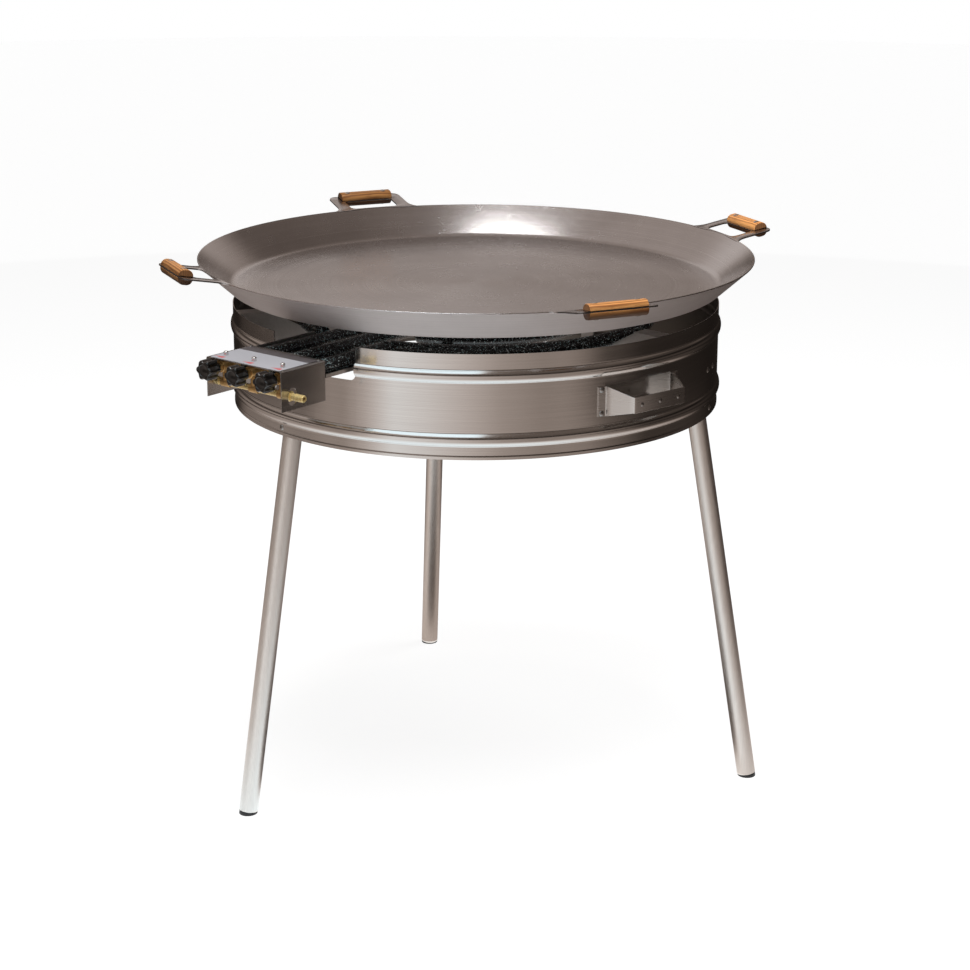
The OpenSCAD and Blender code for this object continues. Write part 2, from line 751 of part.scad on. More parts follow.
module cover_screw_places() {
    for (s = [-1, 1]) translate([s * cover_screw_x, -cover_screw_y, cover_top_z]) children();
}
module dome_screw_places() {
    for (i = [0 : tap_count - 1]) translate([tap_x(i), -tap_y, cover_top_z]) children();
}
module control_cover() {
    color(steel) difference() {
        union() {
            translate([-cover_w / 2, -cover_front_y, cover_under_z]) cube([cover_w, cover_depth, cover_sheet]);
            for (s = [0, 1]) translate([s * (cover_w - cover_sheet) - cover_w / 2, -cover_front_y, cover_top_z - cover_h])
                cube([cover_sheet, cover_depth, cover_h]);
        }
        translate([cover_w / 2 - 2 * cover_sheet, -tap_y, manifold_z]) rotate([0, 90, 0])
            linear_extrude(3 * cover_sheet) obround(inlet_slot_h, inlet_slot_w);
        cover_screw_places() translate([0, 0, -cover_screw_len]) cylinder(r = cover_screw_r, h = 2 * cover_screw_len);
        dome_screw_places() translate([0, 0, -dome_screw_len]) cylinder(r = dome_screw_r, h = 2 * dome_screw_len);
    }
}
module cover_screws() {
    color(steel) cover_screw_places() {
        translate([0, 0, -cover_screw_len]) cylinder(r = cover_screw_r, h = cover_screw_len);
        screw_head(cover_screw_head_r, cover_screw_head_h);
    }
}
module dome_screws() {
    color(pan_steel) dome_screw_places() {
        translate([0, 0, -dome_screw_len]) cylinder(r = dome_screw_r, h = dome_screw_len);
        screw_head(dome_r, dome_h);
    }
}

// Gas train
module along_manifold(x) { translate([x, -tap_y, manifold_z]) rotate([0, 90, 0]) children(); }
module manifold() {
    color(brass) along_manifold(manifold_x0) difference() {
        cylinder(r = manifold_r, h = manifold_x1 - manifold_x0);
        translate([0, 0, -cut_over]) cylinder(r = manifold_bore_r, h = manifold_x1 - manifold_x0 + 2 * cut_over);
    }
}
module manifold_end_plug() {
    color(brass) along_manifold(manifold_x0) {
        translate([0, 0, -end_cap_h]) cylinder(r = end_cap_r, h = end_cap_h, $fn = 6);
        translate([0, 0, -end_cap_h]) cylinder(r = manifold_bore_r, h = end_cap_h + end_spigot);
    }
}
module hose_nozzle() {
    tail_z0 = collar_w + nozzle_neck_len;
    color(brass) along_manifold(manifold_x1) difference() {
        union() {
            translate([0, 0, -end_spigot]) cylinder(r = manifold_bore_r, h = end_spigot + collar_w);
            cylinder(r = collar_r, h = collar_w, $fn = 6);
            cylinder(r = nozzle_neck_r, h = tail_z0 + weld_in);
            translate([0, 0, tail_z0]) cylinder(r = tail_d / 2, h = tail_len);
            translate([0, 0, tail_z0 + tail_len])
                cylinder(r1 = tail_d / 2, r2 = tail_d / 2 - tail_chamfer, h = tail_chamfer);
        }
        translate([0, 0, -end_spigot - cut_over])
            cylinder(r = tail_bore / 2, h = end_spigot + tail_z0 + tail_len + tail_chamfer + 2 * cut_over);
    }
}
module at_tap(i) { translate([tap_x(i), 0, burner_z]) children(); }
module injectors() {
    color(brass) for (i = [0 : tap_count - 1]) at_tap(i) out_along_y(barrel_y0 - injector_len) difference() {
        cylinder(r = injector_r, h = injector_len);
        translate([0, 0, -cut_over]) cylinder(r = injector_bore_r, h = injector_len + 2 * cut_over);
    }
}
module tap_body(i) {
    color(brass) difference() {
        union() {
            at_tap(i) out_along_y(barrel_y0) cylinder(r = barrel_r, h = barrel_y1 - barrel_y0);
            at_tap(i) out_along_y(barrel_y1) cylinder(r = bonnet_r, h = bonnet_h, $fn = 6);
            translate([tap_x(i), -tap_y, manifold_z]) cylinder(r = column_r, h = cover_under_z - manifold_z);
            along_manifold(tap_x(i) - tap_saddle_w / 2) cylinder(r = saddle_r, h = tap_saddle_w);
        }
        along_manifold(tap_x(i) - tap_saddle_w) cylinder(r = manifold_r, h = 2 * tap_saddle_w);
        at_tap(i) out_along_y(plug_y0 - plug_end_gap)
            cylinder(r = plug_r + plug_fit, h = barrel_y1 + bonnet_h - plug_y0 + plug_end_gap + cut_over);
        dome_screw_places() translate([0, 0, -dome_screw_len]) cylinder(r = dome_screw_r, h = dome_screw_len);
    }
}
module tap_plug(i) {
    color(brass) at_tap(i) difference() {
        out_along_y(plug_y0) cylinder(r = plug_r, h = plug_y1 - plug_y0);
        out_along_y(spindle_bore_y0) cylinder(r = spindle_r + spindle_fit, h = plug_y1 - spindle_bore_y0 + cut_over);
    }
}
module tap_spindle(i) {
    color(steel) at_tap(i) out_along_y(spindle_y0) cylinder(r = spindle_r, h = knob_bore_y1 - spindle_y0);
}
module knob_outline() {
    lobe_r = knob_d / 2 * knob_lobe_share;
    circle(knob_d / 2 * knob_core_share);
    for (i = [0 : knob_lobes - 1]) rotate(360 * i / knob_lobes) translate([knob_d / 2 - lobe_r, 0]) circle(lobe_r);
}
module knob(i) {
    color(black) at_tap(i) difference() {
        union() {
            intersection() {
                out_along_y(knob_y0) linear_extrude(knob_depth) knob_outline();
                out_along_y(knob_y0) union() {
                    cylinder(r = knob_d / 2, h = knob_depth - knob_edge);
                    translate([0, 0, knob_depth - knob_edge])
                        cylinder(r1 = knob_d / 2, r2 = knob_d / 2 - knob_edge, h = knob_edge);
                }
            }
            out_along_y(neck_y0) cylinder(r = neck_r, h = knob_y0 - neck_y0 + weld_in);
        }
        out_along_y(knob_y1 - knob_dish_depth)
            cylinder(r = knob_d / 2 * knob_dish_share, h = knob_dish_depth + cut_over);
        out_along_y(neck_y0 - cut_over) cylinder(r = spindle_r, h = knob_bore_y1 - neck_y0 + cut_over);
    }
}

// Carry handles
module carry_rivet_places() {
    for (i = [0 : carry_count - 1]) at_az(spread(i, carry_count, carry_az))
        for (k = [-1 : 1]) translate([drum_r + carry_reach, k * carry_rivet_gap, carry_mid_z - carry_front_drop])
            rotate([0, 90, 0]) children();
}
module carry_side() {
    front_mid = -carry_front_drop;
    translate([drum_r * cos(carry_root_deg), carry_root_w / 2, carry_mid_z]) rotate([0, 0, -carry_turn_deg])
        rotate([90, 0, 0]) linear_extrude(carry_sheet) polygon([
            [0, -carry_root_h / 2], [carry_side_reach(), front_mid - carry_front_h / 2],
            [carry_side_reach(), front_mid + carry_front_h / 2], [0, carry_root_h / 2]]);
}
function carry_side_reach() = (drum_r + carry_reach - drum_r * cos(carry_root_deg)) / cos(carry_turn_deg);
carry_front_half = carry_root_w / 2 - carry_side_reach() * sin(carry_turn_deg);
module carry_handle(i) {
    color(steel) difference() {
        at_az(spread(i, carry_count, carry_az)) union() {
            translate([drum_r + carry_reach - carry_sheet, -carry_front_half,
                carry_mid_z - carry_front_drop - carry_front_h / 2])
                cube([carry_sheet, 2 * carry_front_half, carry_front_h]);
            difference() {
                for (s = [0, 1]) mirror([0, s, 0]) carry_side();
                cylinder(r = drum_r, h = 2 * drum_z1);
            }
            for (s = [0, 1]) mirror([0, s, 0])
                ring_plate(drum_r, drum_r + carry_sheet, carry_mid_z - carry_root_h / 2,
                    carry_mid_z + carry_root_h / 2, carry_root_deg - carry_tuck_deg,
                    carry_root_deg + carry_flange_deg);
        }
        carry_screw_places() screw_hole();
        carry_rivet_places() translate([0, 0, -carry_reach / 2]) cylinder(r = carry_rivet_r, h = carry_reach);
    }
}
module carry_bars() {
    color(steel) difference() {
        for (i = [0 : carry_count - 1]) at_az(spread(i, carry_count, carry_az))
            translate([drum_r + carry_reach - carry_sheet - carry_bar_t, -carry_front_half + carry_bar_short,
                carry_mid_z - carry_front_drop - carry_bar_h / 2])
                cube([carry_bar_t, 2 * (carry_front_half - carry_bar_short), carry_bar_h]);
        carry_rivet_places() translate([0, 0, -carry_reach / 2]) cylinder(r = carry_rivet_r, h = carry_reach);
    }
}
module carry_handle_screws() {
    color(steel) carry_screw_places() shell_screw(carry_sheet, drum_sheet);
}
module carry_handle_rivets() {
    color(steel) carry_rivet_places() {
        translate([0, 0, -carry_sheet - carry_bar_t]) cylinder(r = carry_rivet_r, h = carry_sheet + carry_bar_t);
        screw_head(carry_rivet_head_r, carry_rivet_head_h);
        translate([0, 0, -carry_sheet - carry_bar_t - carry_rivet_head_h])
            cylinder(r = carry_rivet_head_r, h = carry_rivet_head_h);
    }
}

drum_shell();
support_bracket(0);  // support_bracket_1
support_bracket(1);  // support_bracket_2
support_bracket(2);  // support_bracket_3
leg_socket(0);  // leg_socket_1
leg_socket(1);  // leg_socket_2
leg_socket(2);  // leg_socket_3
leg_socket_screws();
leg_lock_screws();
carry_handle(0);  // carry_handle_1
carry_handle(1);  // carry_handle_2
carry_bars();
carry_handle_screws();
carry_handle_rivets();
leg(0);  // leg_1
leg(1);  // leg_2
leg(2);  // leg_3
leg_foot(0);  // leg_foot_1
leg_foot(1);  // leg_foot_2
leg_foot(2);  // leg_foot_3
burner_ring_outer();
burner_ring_middle();
burner_ring_inner();
burner_spider();
tube_tray();
tray_saddle();
cover_strap();
control_cover();
cover_screws();
dome_screws();
manifold();
manifold_end_plug();
hose_nozzle();
injectors();
tap_body(0);  // tap_body_1
tap_body(1);  // tap_body_2
tap_body(2);  // tap_body_3
tap_plug(0);  // tap_plug_1
tap_plug(1);  // tap_plug_2
tap_plug(2);  // tap_plug_3
tap_spindle(0);  // tap_spindle_1
tap_spindle(1);  // tap_spindle_2
tap_spindle(2);  // tap_spindle_3
knob(0);  // knob_1
knob(1);  // knob_2
knob(2);  // knob_3
pan();
grip_upper(0);  // grip_upper_1
grip_upper(1);  // grip_upper_2
grip_upper(2);  // grip_upper_3
grip_upper(3);  // grip_upper_4
grip_lower(0);  // grip_lower_1
grip_lower(1);  // grip_lower_2
grip_lower(2);  // grip_lower_3
grip_lower(3);  // grip_lower_4
grip_rivets();
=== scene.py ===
"""Paella burner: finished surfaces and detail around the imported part.

Sizes are in millimetres in the part's frame: Z up, floor at 0, drum axis on Z, control panel towards -Y.
"""
import math

import bmesh
import bpy
from mathutils import Matrix, Vector


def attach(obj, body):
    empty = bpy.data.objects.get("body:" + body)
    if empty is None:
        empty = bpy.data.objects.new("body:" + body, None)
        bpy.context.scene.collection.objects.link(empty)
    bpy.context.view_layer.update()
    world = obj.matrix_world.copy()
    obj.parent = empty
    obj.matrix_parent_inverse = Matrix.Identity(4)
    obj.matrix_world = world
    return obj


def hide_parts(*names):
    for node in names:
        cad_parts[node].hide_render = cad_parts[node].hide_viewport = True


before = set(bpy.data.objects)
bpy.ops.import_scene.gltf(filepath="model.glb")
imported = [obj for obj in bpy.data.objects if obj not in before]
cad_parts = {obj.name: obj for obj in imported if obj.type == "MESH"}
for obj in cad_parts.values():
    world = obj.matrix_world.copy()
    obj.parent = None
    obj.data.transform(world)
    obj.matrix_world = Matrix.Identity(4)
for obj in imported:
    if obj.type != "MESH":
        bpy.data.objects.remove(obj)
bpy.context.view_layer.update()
scene = bpy.context.scene

MM = 0.001
WELD = 0.004
FULL_TURN = 2 * math.pi
EDGE_DEG = 50


# Small helpers
def turn(deg, axis="Z"):
    return Matrix.Rotation(math.radians(deg), 4, axis)


def shift(x, y, z):
    return Matrix.Translation((x, y, z))


def arc_points(centre, radius, deg0, deg1, steps):
    """Points of an arc in a plane, from one angle to another."""
    angles = [math.radians(deg0 + (deg1 - deg0) * i / steps) for i in range(steps + 1)]
    return [(centre[0] + radius * math.cos(a), centre[1] + radius * math.sin(a)) for a in angles]


def chain(bm, points, closed=False):
    """Vertices through the points and the edges between them."""
    verts = [bm.verts.new(p) for p in points]
    pairs = list(zip(verts, verts[1:]))
    if closed:
        pairs.append((verts[-1], verts[0]))
    return verts, [bm.edges.new(pair) for pair in pairs]


def new_verts(made):
    """The vertices among what an operator has made."""
    return [g for g in made["geom"] if isinstance(g, bmesh.types.BMVert)]


def lathe(profile, steps, closed=False):
    """A profile of (radius, height) points, spun about Z."""
    bm = bmesh.new()
    verts, edges = chain(bm, [(r, 0, z) for r, z in profile], closed)
    bmesh.ops.spin(bm, geom=verts + edges, cent=(0, 0, 0), axis=(0, 0, 1), angle=FULL_TURN, steps=steps,
                   use_merge=True, use_duplicate=False)
    bmesh.ops.remove_doubles(bm, verts=bm.verts, dist=WELD)
    bmesh.ops.recalc_face_normals(bm, faces=bm.faces)
    return bm


def stamp(target, source, *places):
    """Adds a copy of a finished bmesh to another one at each place."""
    mesh = bpy.data.meshes.new("stamp")
    for place in places:
        source.to_mesh(mesh)
        mesh.transform(place)
        target.from_mesh(mesh)
    bpy.data.meshes.remove(mesh)


def stamped(source, *places):
    """A new bmesh with a copy of a finished one at each place."""
    bm = bmesh.new()
    stamp(bm, source, *places)
    return bm


def move(bm, place):
    bmesh.ops.transform(bm, matrix=place, verts=bm.verts)


def round_edges(bm, geom, size, segments, affect="EDGES"):
    bmesh.ops.bevel(bm, geom=list(geom), offset=size, offset_type="OFFSET", affect=affect,
                    segments=segments, profile=0.5, material=-1, clamp_overlap=True)


def round_corners(bm, verts, size, segments):
    round_edges(bm, verts, size, segments, affect="VERTICES")


def sharp_edges(bm, deg=40):
    return [e for e in bm.edges if len(e.link_faces) == 2 and e.calc_face_angle(0) > math.radians(deg)]


def block(x0, x1, y0, y1, z0, z1):
    """A box between two corners."""
    bm = bmesh.new()
    size = Matrix.Diagonal((x1 - x0, y1 - y0, z1 - z0, 1))
    bmesh.ops.create_cube(bm, size=1, matrix=shift((x0 + x1) / 2, (y0 + y1) / 2, (z0 + z1) / 2) @ size)
    return bm


def prism(sides, radius, height, edge=0.0):
    """A many-sided bar that stands on Z = 0, with its end edges rounded."""
    bm = bmesh.new()
    bmesh.ops.create_cone(bm, cap_ends=True, segments=sides, radius1=radius, radius2=radius, depth=height,
                          matrix=shift(0, 0, height / 2))
    if edge:
        round_edges(bm, sharp_edges(bm), edge, 2)
    return bm


def make_piece(name, bm, body, slot, finish, *nodes, crease_deg=34, sheet=0.0, edge=0.0):
    """Turns a bmesh in millimetres into a piece that rides on a body and stands for CAD nodes."""
    bmesh.ops.remove_doubles(bm, verts=bm.verts, dist=WELD)
    if not sheet:
        bmesh.ops.recalc_face_normals(bm, faces=bm.faces)
    bmesh.ops.scale(bm, vec=(MM, MM, MM), verts=bm.verts)
    mesh = bpy.data.meshes.new(name)
    bm.to_mesh(mesh)
    bm.free()
    mesh.shade_smooth()
    mesh.set_sharp_from_angle(angle=math.radians(crease_deg))
    mesh.materials.append(finish)
    obj = bpy.data.objects.new(name, mesh)
    scene.collection.objects.link(obj)
    if sheet:
        thick = obj.modifiers.new("sheet", "SOLIDIFY")
        thick.thickness = sheet * MM
        thick.offset = 0
        thick.use_even_offset = True
    if edge:
        soft = obj.modifiers.new("edge", "BEVEL")
        soft.width = edge * MM
        soft.segments = 2
        soft.limit_method = "ANGLE"
        soft.angle_limit = math.radians(EDGE_DEG)
        soft.harden_normals = True
    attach(obj, body)
    if nodes:
        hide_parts(*nodes)


# Shader writing
class Wire:
    """A socket of a node tree. Sums on it add Math nodes."""

    def __init__(self, finish, socket):
        self.finish = finish
        self.socket = socket

    def math(self, operation, *others):
        return self.finish.node("Math", {"operation": operation},
                                dict(enumerate((self, *others))))

    def __add__(self, other):
        return self.math("ADD", other)

    def __sub__(self, other):
        return self.math("SUBTRACT", other)

    def __rsub__(self, other):
        return self.finish.node("Math", {"operation": "SUBTRACT"}, {0: other, 1: self})

    def __mul__(self, other):
        return self.math("MULTIPLY", other)

    def __pow__(self, other):
        return self.math("POWER", other)

    __radd__ = __add__
    __rmul__ = __mul__


class Finish:
    """A material that is built from nodes around one Principled shader."""

    def __init__(self, name, **constants):
        self.material = bpy.data.materials.new(name)
        self.material.use_nodes = True
        self.tree = self.material.node_tree
        self.shader = next(n for n in self.tree.nodes if n.type == "BSDF_PRINCIPLED")
        for socket, value in constants.items():
            self.shader.inputs[socket.replace("_", " ")].default_value = value

    def node(self, kind, settings=None, sockets=None, out=0):
        """Adds any shader node: its kind, its settings, and the values or links of its sockets."""
        made = self.tree.nodes.new("ShaderNode" + kind)
        for key, value in (settings or {}).items():
            if key == "stops":
                self.ramp(made.color_ramp.elements, value)
            else:
                setattr(made, key, value)
        for key, value in (sockets or {}).items():
            if isinstance(value, Wire):
                self.tree.links.new(value.socket, made.inputs[key])
            else:
                made.inputs[key].default_value = value
        return Wire(self, made.outputs[out])

    def ramp(self, elements, stops):
        """Gives a ramp its stops, each a position and a grey."""
        while len(elements) < len(stops):
            elements.new(0.5)
        for element, (position, tone) in zip(elements, stops):
            element.position = position
            element.color = (tone, tone, tone, 1)

    def put(self, **links):
        for socket, wire in links.items():
            self.tree.links.new(wire.socket, self.shader.inputs[socket.replace("_", " ")])
        return self.material

    def place(self, scale=(1, 1, 1), rotation=(0, 0, 0), location=(0, 0, 0)):
        """Object coordinates, moved, turned and scaled."""
        return self.node("Mapping", None, {
            "Vector": self.node("TexCoord", out="Object"),
            "Location": location, "Rotation": rotation, "Scale": scale})

    def axes(self, vector):
        split = self.node("SeparateXYZ", None, {0: vector})
        return [Wire(self, s) for s in split.socket.node.outputs]

    def noise(self, vector, scale=1.0, detail=3.0, rough=0.5):
        return self.node("TexNoise", None, {
            "Vector": vector, "Scale": scale, "Detail": detail, "Roughness": rough})

    def spread(self, value, low, high, to_low=0.0, to_high=1.0):
        """Maps a value smoothly from one range to another."""
        return self.node("MapRange", {"interpolation_type": "SMOOTHSTEP"}, {
            "Value": value, "From Min": low, "From Max": high, "To Min": to_low, "To Max": to_high})

    def blend(self, factor, colour_a, colour_b):
        """A mix of two colours, which this node takes in its inputs 6 and 7 and gives in output 2."""
        return self.node("Mix", {"data_type": "RGBA"},
                         {0: factor, 6: colour_a, 7: colour_b}, out=2)

    def bump(self, height, strength, distance):
        return self.node("Bump", None, {
            "Strength": strength, "Distance": distance, "Height": height})


def grey(value, warm=0.0):
    """A metal grey, a little warmer or cooler."""
    return (value * (1 + warm), value, value * (1 - warm), 1)


# Finishes
def brushed_steel(name, light, rough, stretch, anisotropic, warm=0.030, shaded_inside=False):
    """Steel sheet with fine brush lines; stretch is the pattern's scale along X, Y and Z.

    A shell round Z with a shaded inside is rougher on the faces that look at the axis, and darker there
    as painted shade.
    """
    f = Finish(name, Metallic=1.0, Anisotropic=anisotropic, Anisotropic_Rotation=0.25)
    lines = f.noise(f.place(stretch), 1.0, 3.0, 0.6)
    fine = f.noise(f.place([2.7 * s for s in stretch]), 1.0, 2.0, 0.5)
    cloud = f.noise(f.place(), 5.0, 2.0)
    smudge = f.spread(f.noise(f.place(), 19.0, 4.0, 0.6), 0.54, 0.74)
    tone = lines * 0.45 + fine * 0.35 + cloud * 0.20
    colour = f.blend(f.spread(tone, 0.30, 0.70), grey(light * 0.93, warm), grey(light * 1.07, warm))
    roughness = rough + (lines - 0.5) * 0.06 + smudge * 0.03 + (cloud - 0.5) * 0.03
    if shaded_inside:
        x, y, _ = f.axes(f.place())
        out_x, out_y, _ = f.axes(f.node("NewGeometry", out="Normal"))
        inside = f.spread(x * out_x + y * out_y, -0.05, -0.15)
        # The darker inside colour is painted shade where the drum's inside lies in shadow.
        painted_inside_shade = f.blend(cloud, grey(light * 0.14, 0.10), grey(light * 0.24, 0.10))
        colour = f.blend(inside, colour, painted_inside_shade)
        roughness = roughness + inside * 0.22
    return f.put(Base_Color=colour, Roughness=roughness,
                 Normal=f.bump(lines * 0.6 + fine * 0.4, 0.05, 0.0001))


def pan_satin():
    """Spun pan steel: fine rings round the axis, faint blotches, a rougher outside lightened as painted
    light, and cut edges darkened as painted shade.
    """
    f = Finish("pan_satin", Metallic=1.0, Anisotropic=0.5, Anisotropic_Rotation=0.25)
    x, y, z = f.axes(f.place())
    radius = (x * x + y * y) ** 0.5
    wander = f.noise(f.place(), 3.0, 2.0)
    ring_place = f.node("CombineXYZ", None, {
        0: radius * 620 + wander * 2, 1: z * 620, 2: wander * 1.5})
    rings = f.noise(ring_place, 1.0, 4.0, 0.65)
    fine = f.noise(ring_place, 3.3, 2.0)
    blotch = f.noise(f.place(), 6.0, 4.0, 0.6)
    marks = f.spread(f.noise(f.place(), 31.0, 5.0, 0.7), 0.56, 0.72)
    tone = rings * 0.5 + fine * 0.2 + blotch * 0.5
    colour = f.blend(f.spread(tone, 0.32, 0.90), (0.450, 0.432, 0.430, 1), (0.630, 0.610, 0.612, 1))
    _, _, facing = f.axes(f.node("NewGeometry", out="Normal"))
    # The tabs' cut edges are painted dark: painted shade.
    painted_shade_edge = f.spread(facing.math("ABSOLUTE"), 0.55, 0.35) * f.spread(radius, 0.486, 0.490)
    colour = f.blend(painted_shade_edge * 0.85, colour, (0.05, 0.045, 0.04, 1))
    outside = f.spread(facing, -0.2, -0.5)
    # The outside is painted a little lighter: painted light.
    colour = f.blend(outside * 0.20, colour, (0.88, 0.80, 0.77, 1))
    roughness = 0.25 + (rings - 0.5) * 0.10 + (blotch - 0.5) * 0.10 + marks * 0.05 + outside * 0.45
    return f.put(Base_Color=colour, Roughness=roughness, Normal=f.bump(rings + fine * 0.4, 0.06, 0.0003))


def speckled_enamel():
    """Black enamel with pale and teal specks of mixed sizes."""
    f = Finish("speckled_enamel", Specular_IOR_Level=0.55)
    base = f.noise(f.place(), 60.0, 3.0)
    specks = []
    for scale, reach in ((170.0, 0.30), (300.0, 0.38), (560.0, 0.40)):
        cells = f.node("TexVoronoi", {"feature": "F1"}, {
            "Vector": f.place(), "Scale": scale, "Randomness": 1.0})
        pick = f.node("SeparateColor", None, {0: Wire(f, cells.socket.node.outputs["Color"])})
        size = f.spread(pick, 0.25, 1.0, 0.0, reach)
        specks.append((f.spread(size - cells, -0.02, 0.03), Wire(f, pick.socket.node.outputs[1])))
    colour = f.blend(base, (0.006, 0.007, 0.008, 1), (0.016, 0.017, 0.019, 1))
    mask = None
    for speck, hue in specks:
        colour = f.blend(speck, colour, f.blend(hue, (0.86, 0.92, 0.90, 1), (0.24, 0.42, 0.44, 1)))
        mask = speck if mask is None else mask + speck
    return f.put(Base_Color=colour, Roughness=0.16 + base * 0.10,
                 Normal=f.bump(mask * 0.5 + base, 0.10, 0.0004))


def stained_wood(name, deg, seed, painted_light):
    """Orange-brown stained wood, with its grain along a grip that points across the given direction.

    Its ends are darker, and its underside is painted darker as painted shade.
    """
    f = Finish(name, IOR=1.5, Specular_IOR_Level=0.30)
    grip = f.place(rotation=(0, 0, -math.radians(deg)), location=(seed, 2 * seed, seed))
    across, along, up = f.axes(grip)
    wander = f.noise(grip, 9.0, 2.0)
    grain_place = f.node("CombineXYZ", None, {
        0: across * 150 + wander * 1.1, 1: along * 5, 2: up * 150 + wander * 0.8})
    grain = f.noise(grain_place, 1.0, 4.0, 0.6)
    bands = f.node(
        "TexWave", {"wave_type": "BANDS", "bands_direction": "X", "wave_profile": "SIN"},
        {"Vector": grain_place, "Scale": 0.55, "Distortion": 2.2, "Detail": 2.0, "Detail Scale": 1.2},
        out=1)
    pore_place = f.node("CombineXYZ", None, {0: across * 900, 1: along * 45, 2: up * 900})
    pores = f.spread(f.noise(pore_place, 1.0, 2.0), 0.60, 0.72)
    tone = f.spread(grain * 0.65 + bands * 0.45, 0.22, 0.86)
    # The colours are scaled by a brightness for each grip: painted light and shade.
    dark = (0.220 * painted_light, 0.078 * painted_light, 0.022 * painted_light, 1)
    light = (0.620 * painted_light, 0.290 * painted_light, 0.096 * painted_light, 1)
    colour = f.blend(tone, dark, light)
    colour = f.blend(pores * 0.65, colour, (0.115, 0.042, 0.016, 1))
    out_x, out_y, out_z = f.axes(f.node("NewGeometry", out="Normal"))
    lengthwise = out_y * math.cos(math.radians(deg)) - out_x * math.sin(math.radians(deg))
    ends = f.spread(lengthwise.math("ABSOLUTE"), 0.60, 0.85)
    colour = f.blend(ends * 0.85, colour, (0.150 * painted_light, 0.070 * painted_light, 0.032 * painted_light, 1))
    # Faces that look down are painted dark: painted shade.
    colour = f.blend(f.spread(out_z, -0.05, -0.40) * 0.72, colour, (0.045, 0.015, 0.006, 1))
    roughness = 0.40 + (grain - 0.5) * 0.12 + pores * 0.18
    return f.put(Base_Color=colour, Roughness=roughness, Normal=f.bump(grain - pores * 0.8, 0.16, 0.0004))


def cast_brass(name, light, dark, rough, metal):
    """Turned brass with dull patches."""
    f = Finish(name, Metallic=metal)
    patch = f.noise(f.place(), 85.0, 4.0, 0.6)
    grains = f.noise(f.place(), 900.0, 2.0)
    tone = f.spread(patch * 0.8 + grains * 0.2, 0.34, 0.66)
    return f.put(Base_Color=f.blend(tone, dark, light), Roughness=rough + (1 - tone) * 0.14,
                 Normal=f.bump(grains, 0.05, 0.0002))


def moulded_plastic(name, tone, rough, grain_size, depth, gloss=0.0):
    """Black moulded plastic with a faint skin texture; gloss is the share of a clear coat."""
    f = Finish(name, IOR=1.5, Specular_IOR_Level=0.5 - 0.3 * gloss, Coat_Weight=gloss, Coat_IOR=1.45,
               Coat_Roughness=0.03)
    skin = f.noise(f.place(), grain_size, 3.0)
    dust = f.spread(f.noise(f.place(), 140.0, 4.0, 0.7), 0.55, 0.80)
    colour = f.blend(dust * 0.5, grey(tone), grey(tone * 2.6 + 0.004))
    return f.put(Base_Color=colour, Roughness=rough + (skin - 0.5) * 0.08 + dust * 0.06,
                 Normal=f.bump(skin, depth, 0.0003))


drum_steel = brushed_steel("drum_steel", 0.62, 0.15, (3.0, 3.0, 700.0), 0.25, shaded_inside=True)
tube_steel = brushed_steel("tube_steel", 0.80, 0.46, (300.0, 300.0, 14.0), 0.30, warm=0.05)
cover_steel = brushed_steel("cover_steel", 0.50, 0.22, (500.0, 9.0, 500.0), 0.20)
plate_steel = brushed_steel("plate_steel", 0.55, 0.32, (260.0, 260.0, 260.0), 0.0)
handle_steel = brushed_steel("handle_steel", 0.58, 0.28, (8.0, 8.0, 600.0), 0.30)
bolt_steel = brushed_steel("bolt_steel", 0.66, 0.22, (500.0, 500.0, 500.0), 0.0)
# The small screws and rivets get a darker steel than the bolts: painted shade in and round their small
# heads.
shaded_screw_steel = brushed_steel("shaded_screw_steel", 0.30, 0.30, (500.0, 500.0, 500.0), 0.0)
pan_steel = pan_satin()
enamel = speckled_enamel()
brass = cast_brass("brass", (1.00, 0.80, 0.38, 1), (0.92, 0.68, 0.28, 1), 0.22, 0.5)
bronze = cast_brass("bronze", (0.72, 0.46, 0.18, 1), (0.44, 0.26, 0.10, 1), 0.32, 0.7)
knob_black = moulded_plastic("knob_black", 0.003, 0.30, 700.0, 0.02, gloss=1.0)
foot_black = moulded_plastic("foot_black", 0.010, 0.50, 420.0, 0.20)

# Pan
PAN_RIM_R = 480.0
PAN_RIM_Z = 902.0
PAN_BASE_Z = 850.0
PAN_SHEET = 2.5
PAN_WALL_DEG = 42.0
PAN_BEND_R = 25.0
HANDLE_AZ = 63.0
HANDLES = 4
TAB_SLOPE_DEG = 10.0
TAB_W = 142.0
TAB_REACH = 72.0
TAB_CORNER_R = 14.0
TAB_ROOT_R = 26.0
TAB_ROOT_CUT = 0.83 * TAB_ROOT_R
TAB_ROOT_SPREAD = 33.0
TAB_ROOT_SINK = 0.6
TAB_ROOT_MID = (0.4, 12.0)
TAB_EDGE_R = 0.7
SLOT_LEN = 94.0
SLOT_W = 42.0
SLOT_FROM_RIM = 2.0
SLOT_CORNER_R = 9.0
GRIP_LEN = 102.0
GRIP_W = 26.0
GRIP_HALF_T = 11.5
GRIP_EDGE_R = 10.5
GRIP_END = 1.8
GRIP_SEAM = 0.5
GRIP_MID = TAB_REACH - GRIP_W / 2
RIVET_REACH = 36.0
# A head of a rivet or a screw is given by its radius and height
RIVET_HEAD = (5.1, 1.2)
SHANK_LEN = 1.5
GRAIN_STEP = 0.37
# A brightness for each grip's wood, which stands in for how light falls on it: painted light and shade
GRIP_PAINTED_LIGHT = (1.55, 0.62, 0.95, 1.30)
# Each step of a grip's end: its inset, and its share of the length GRIP_END
GRIP_CAP_STEPS = ((0.5, 0.65), (1.1, 0.35))

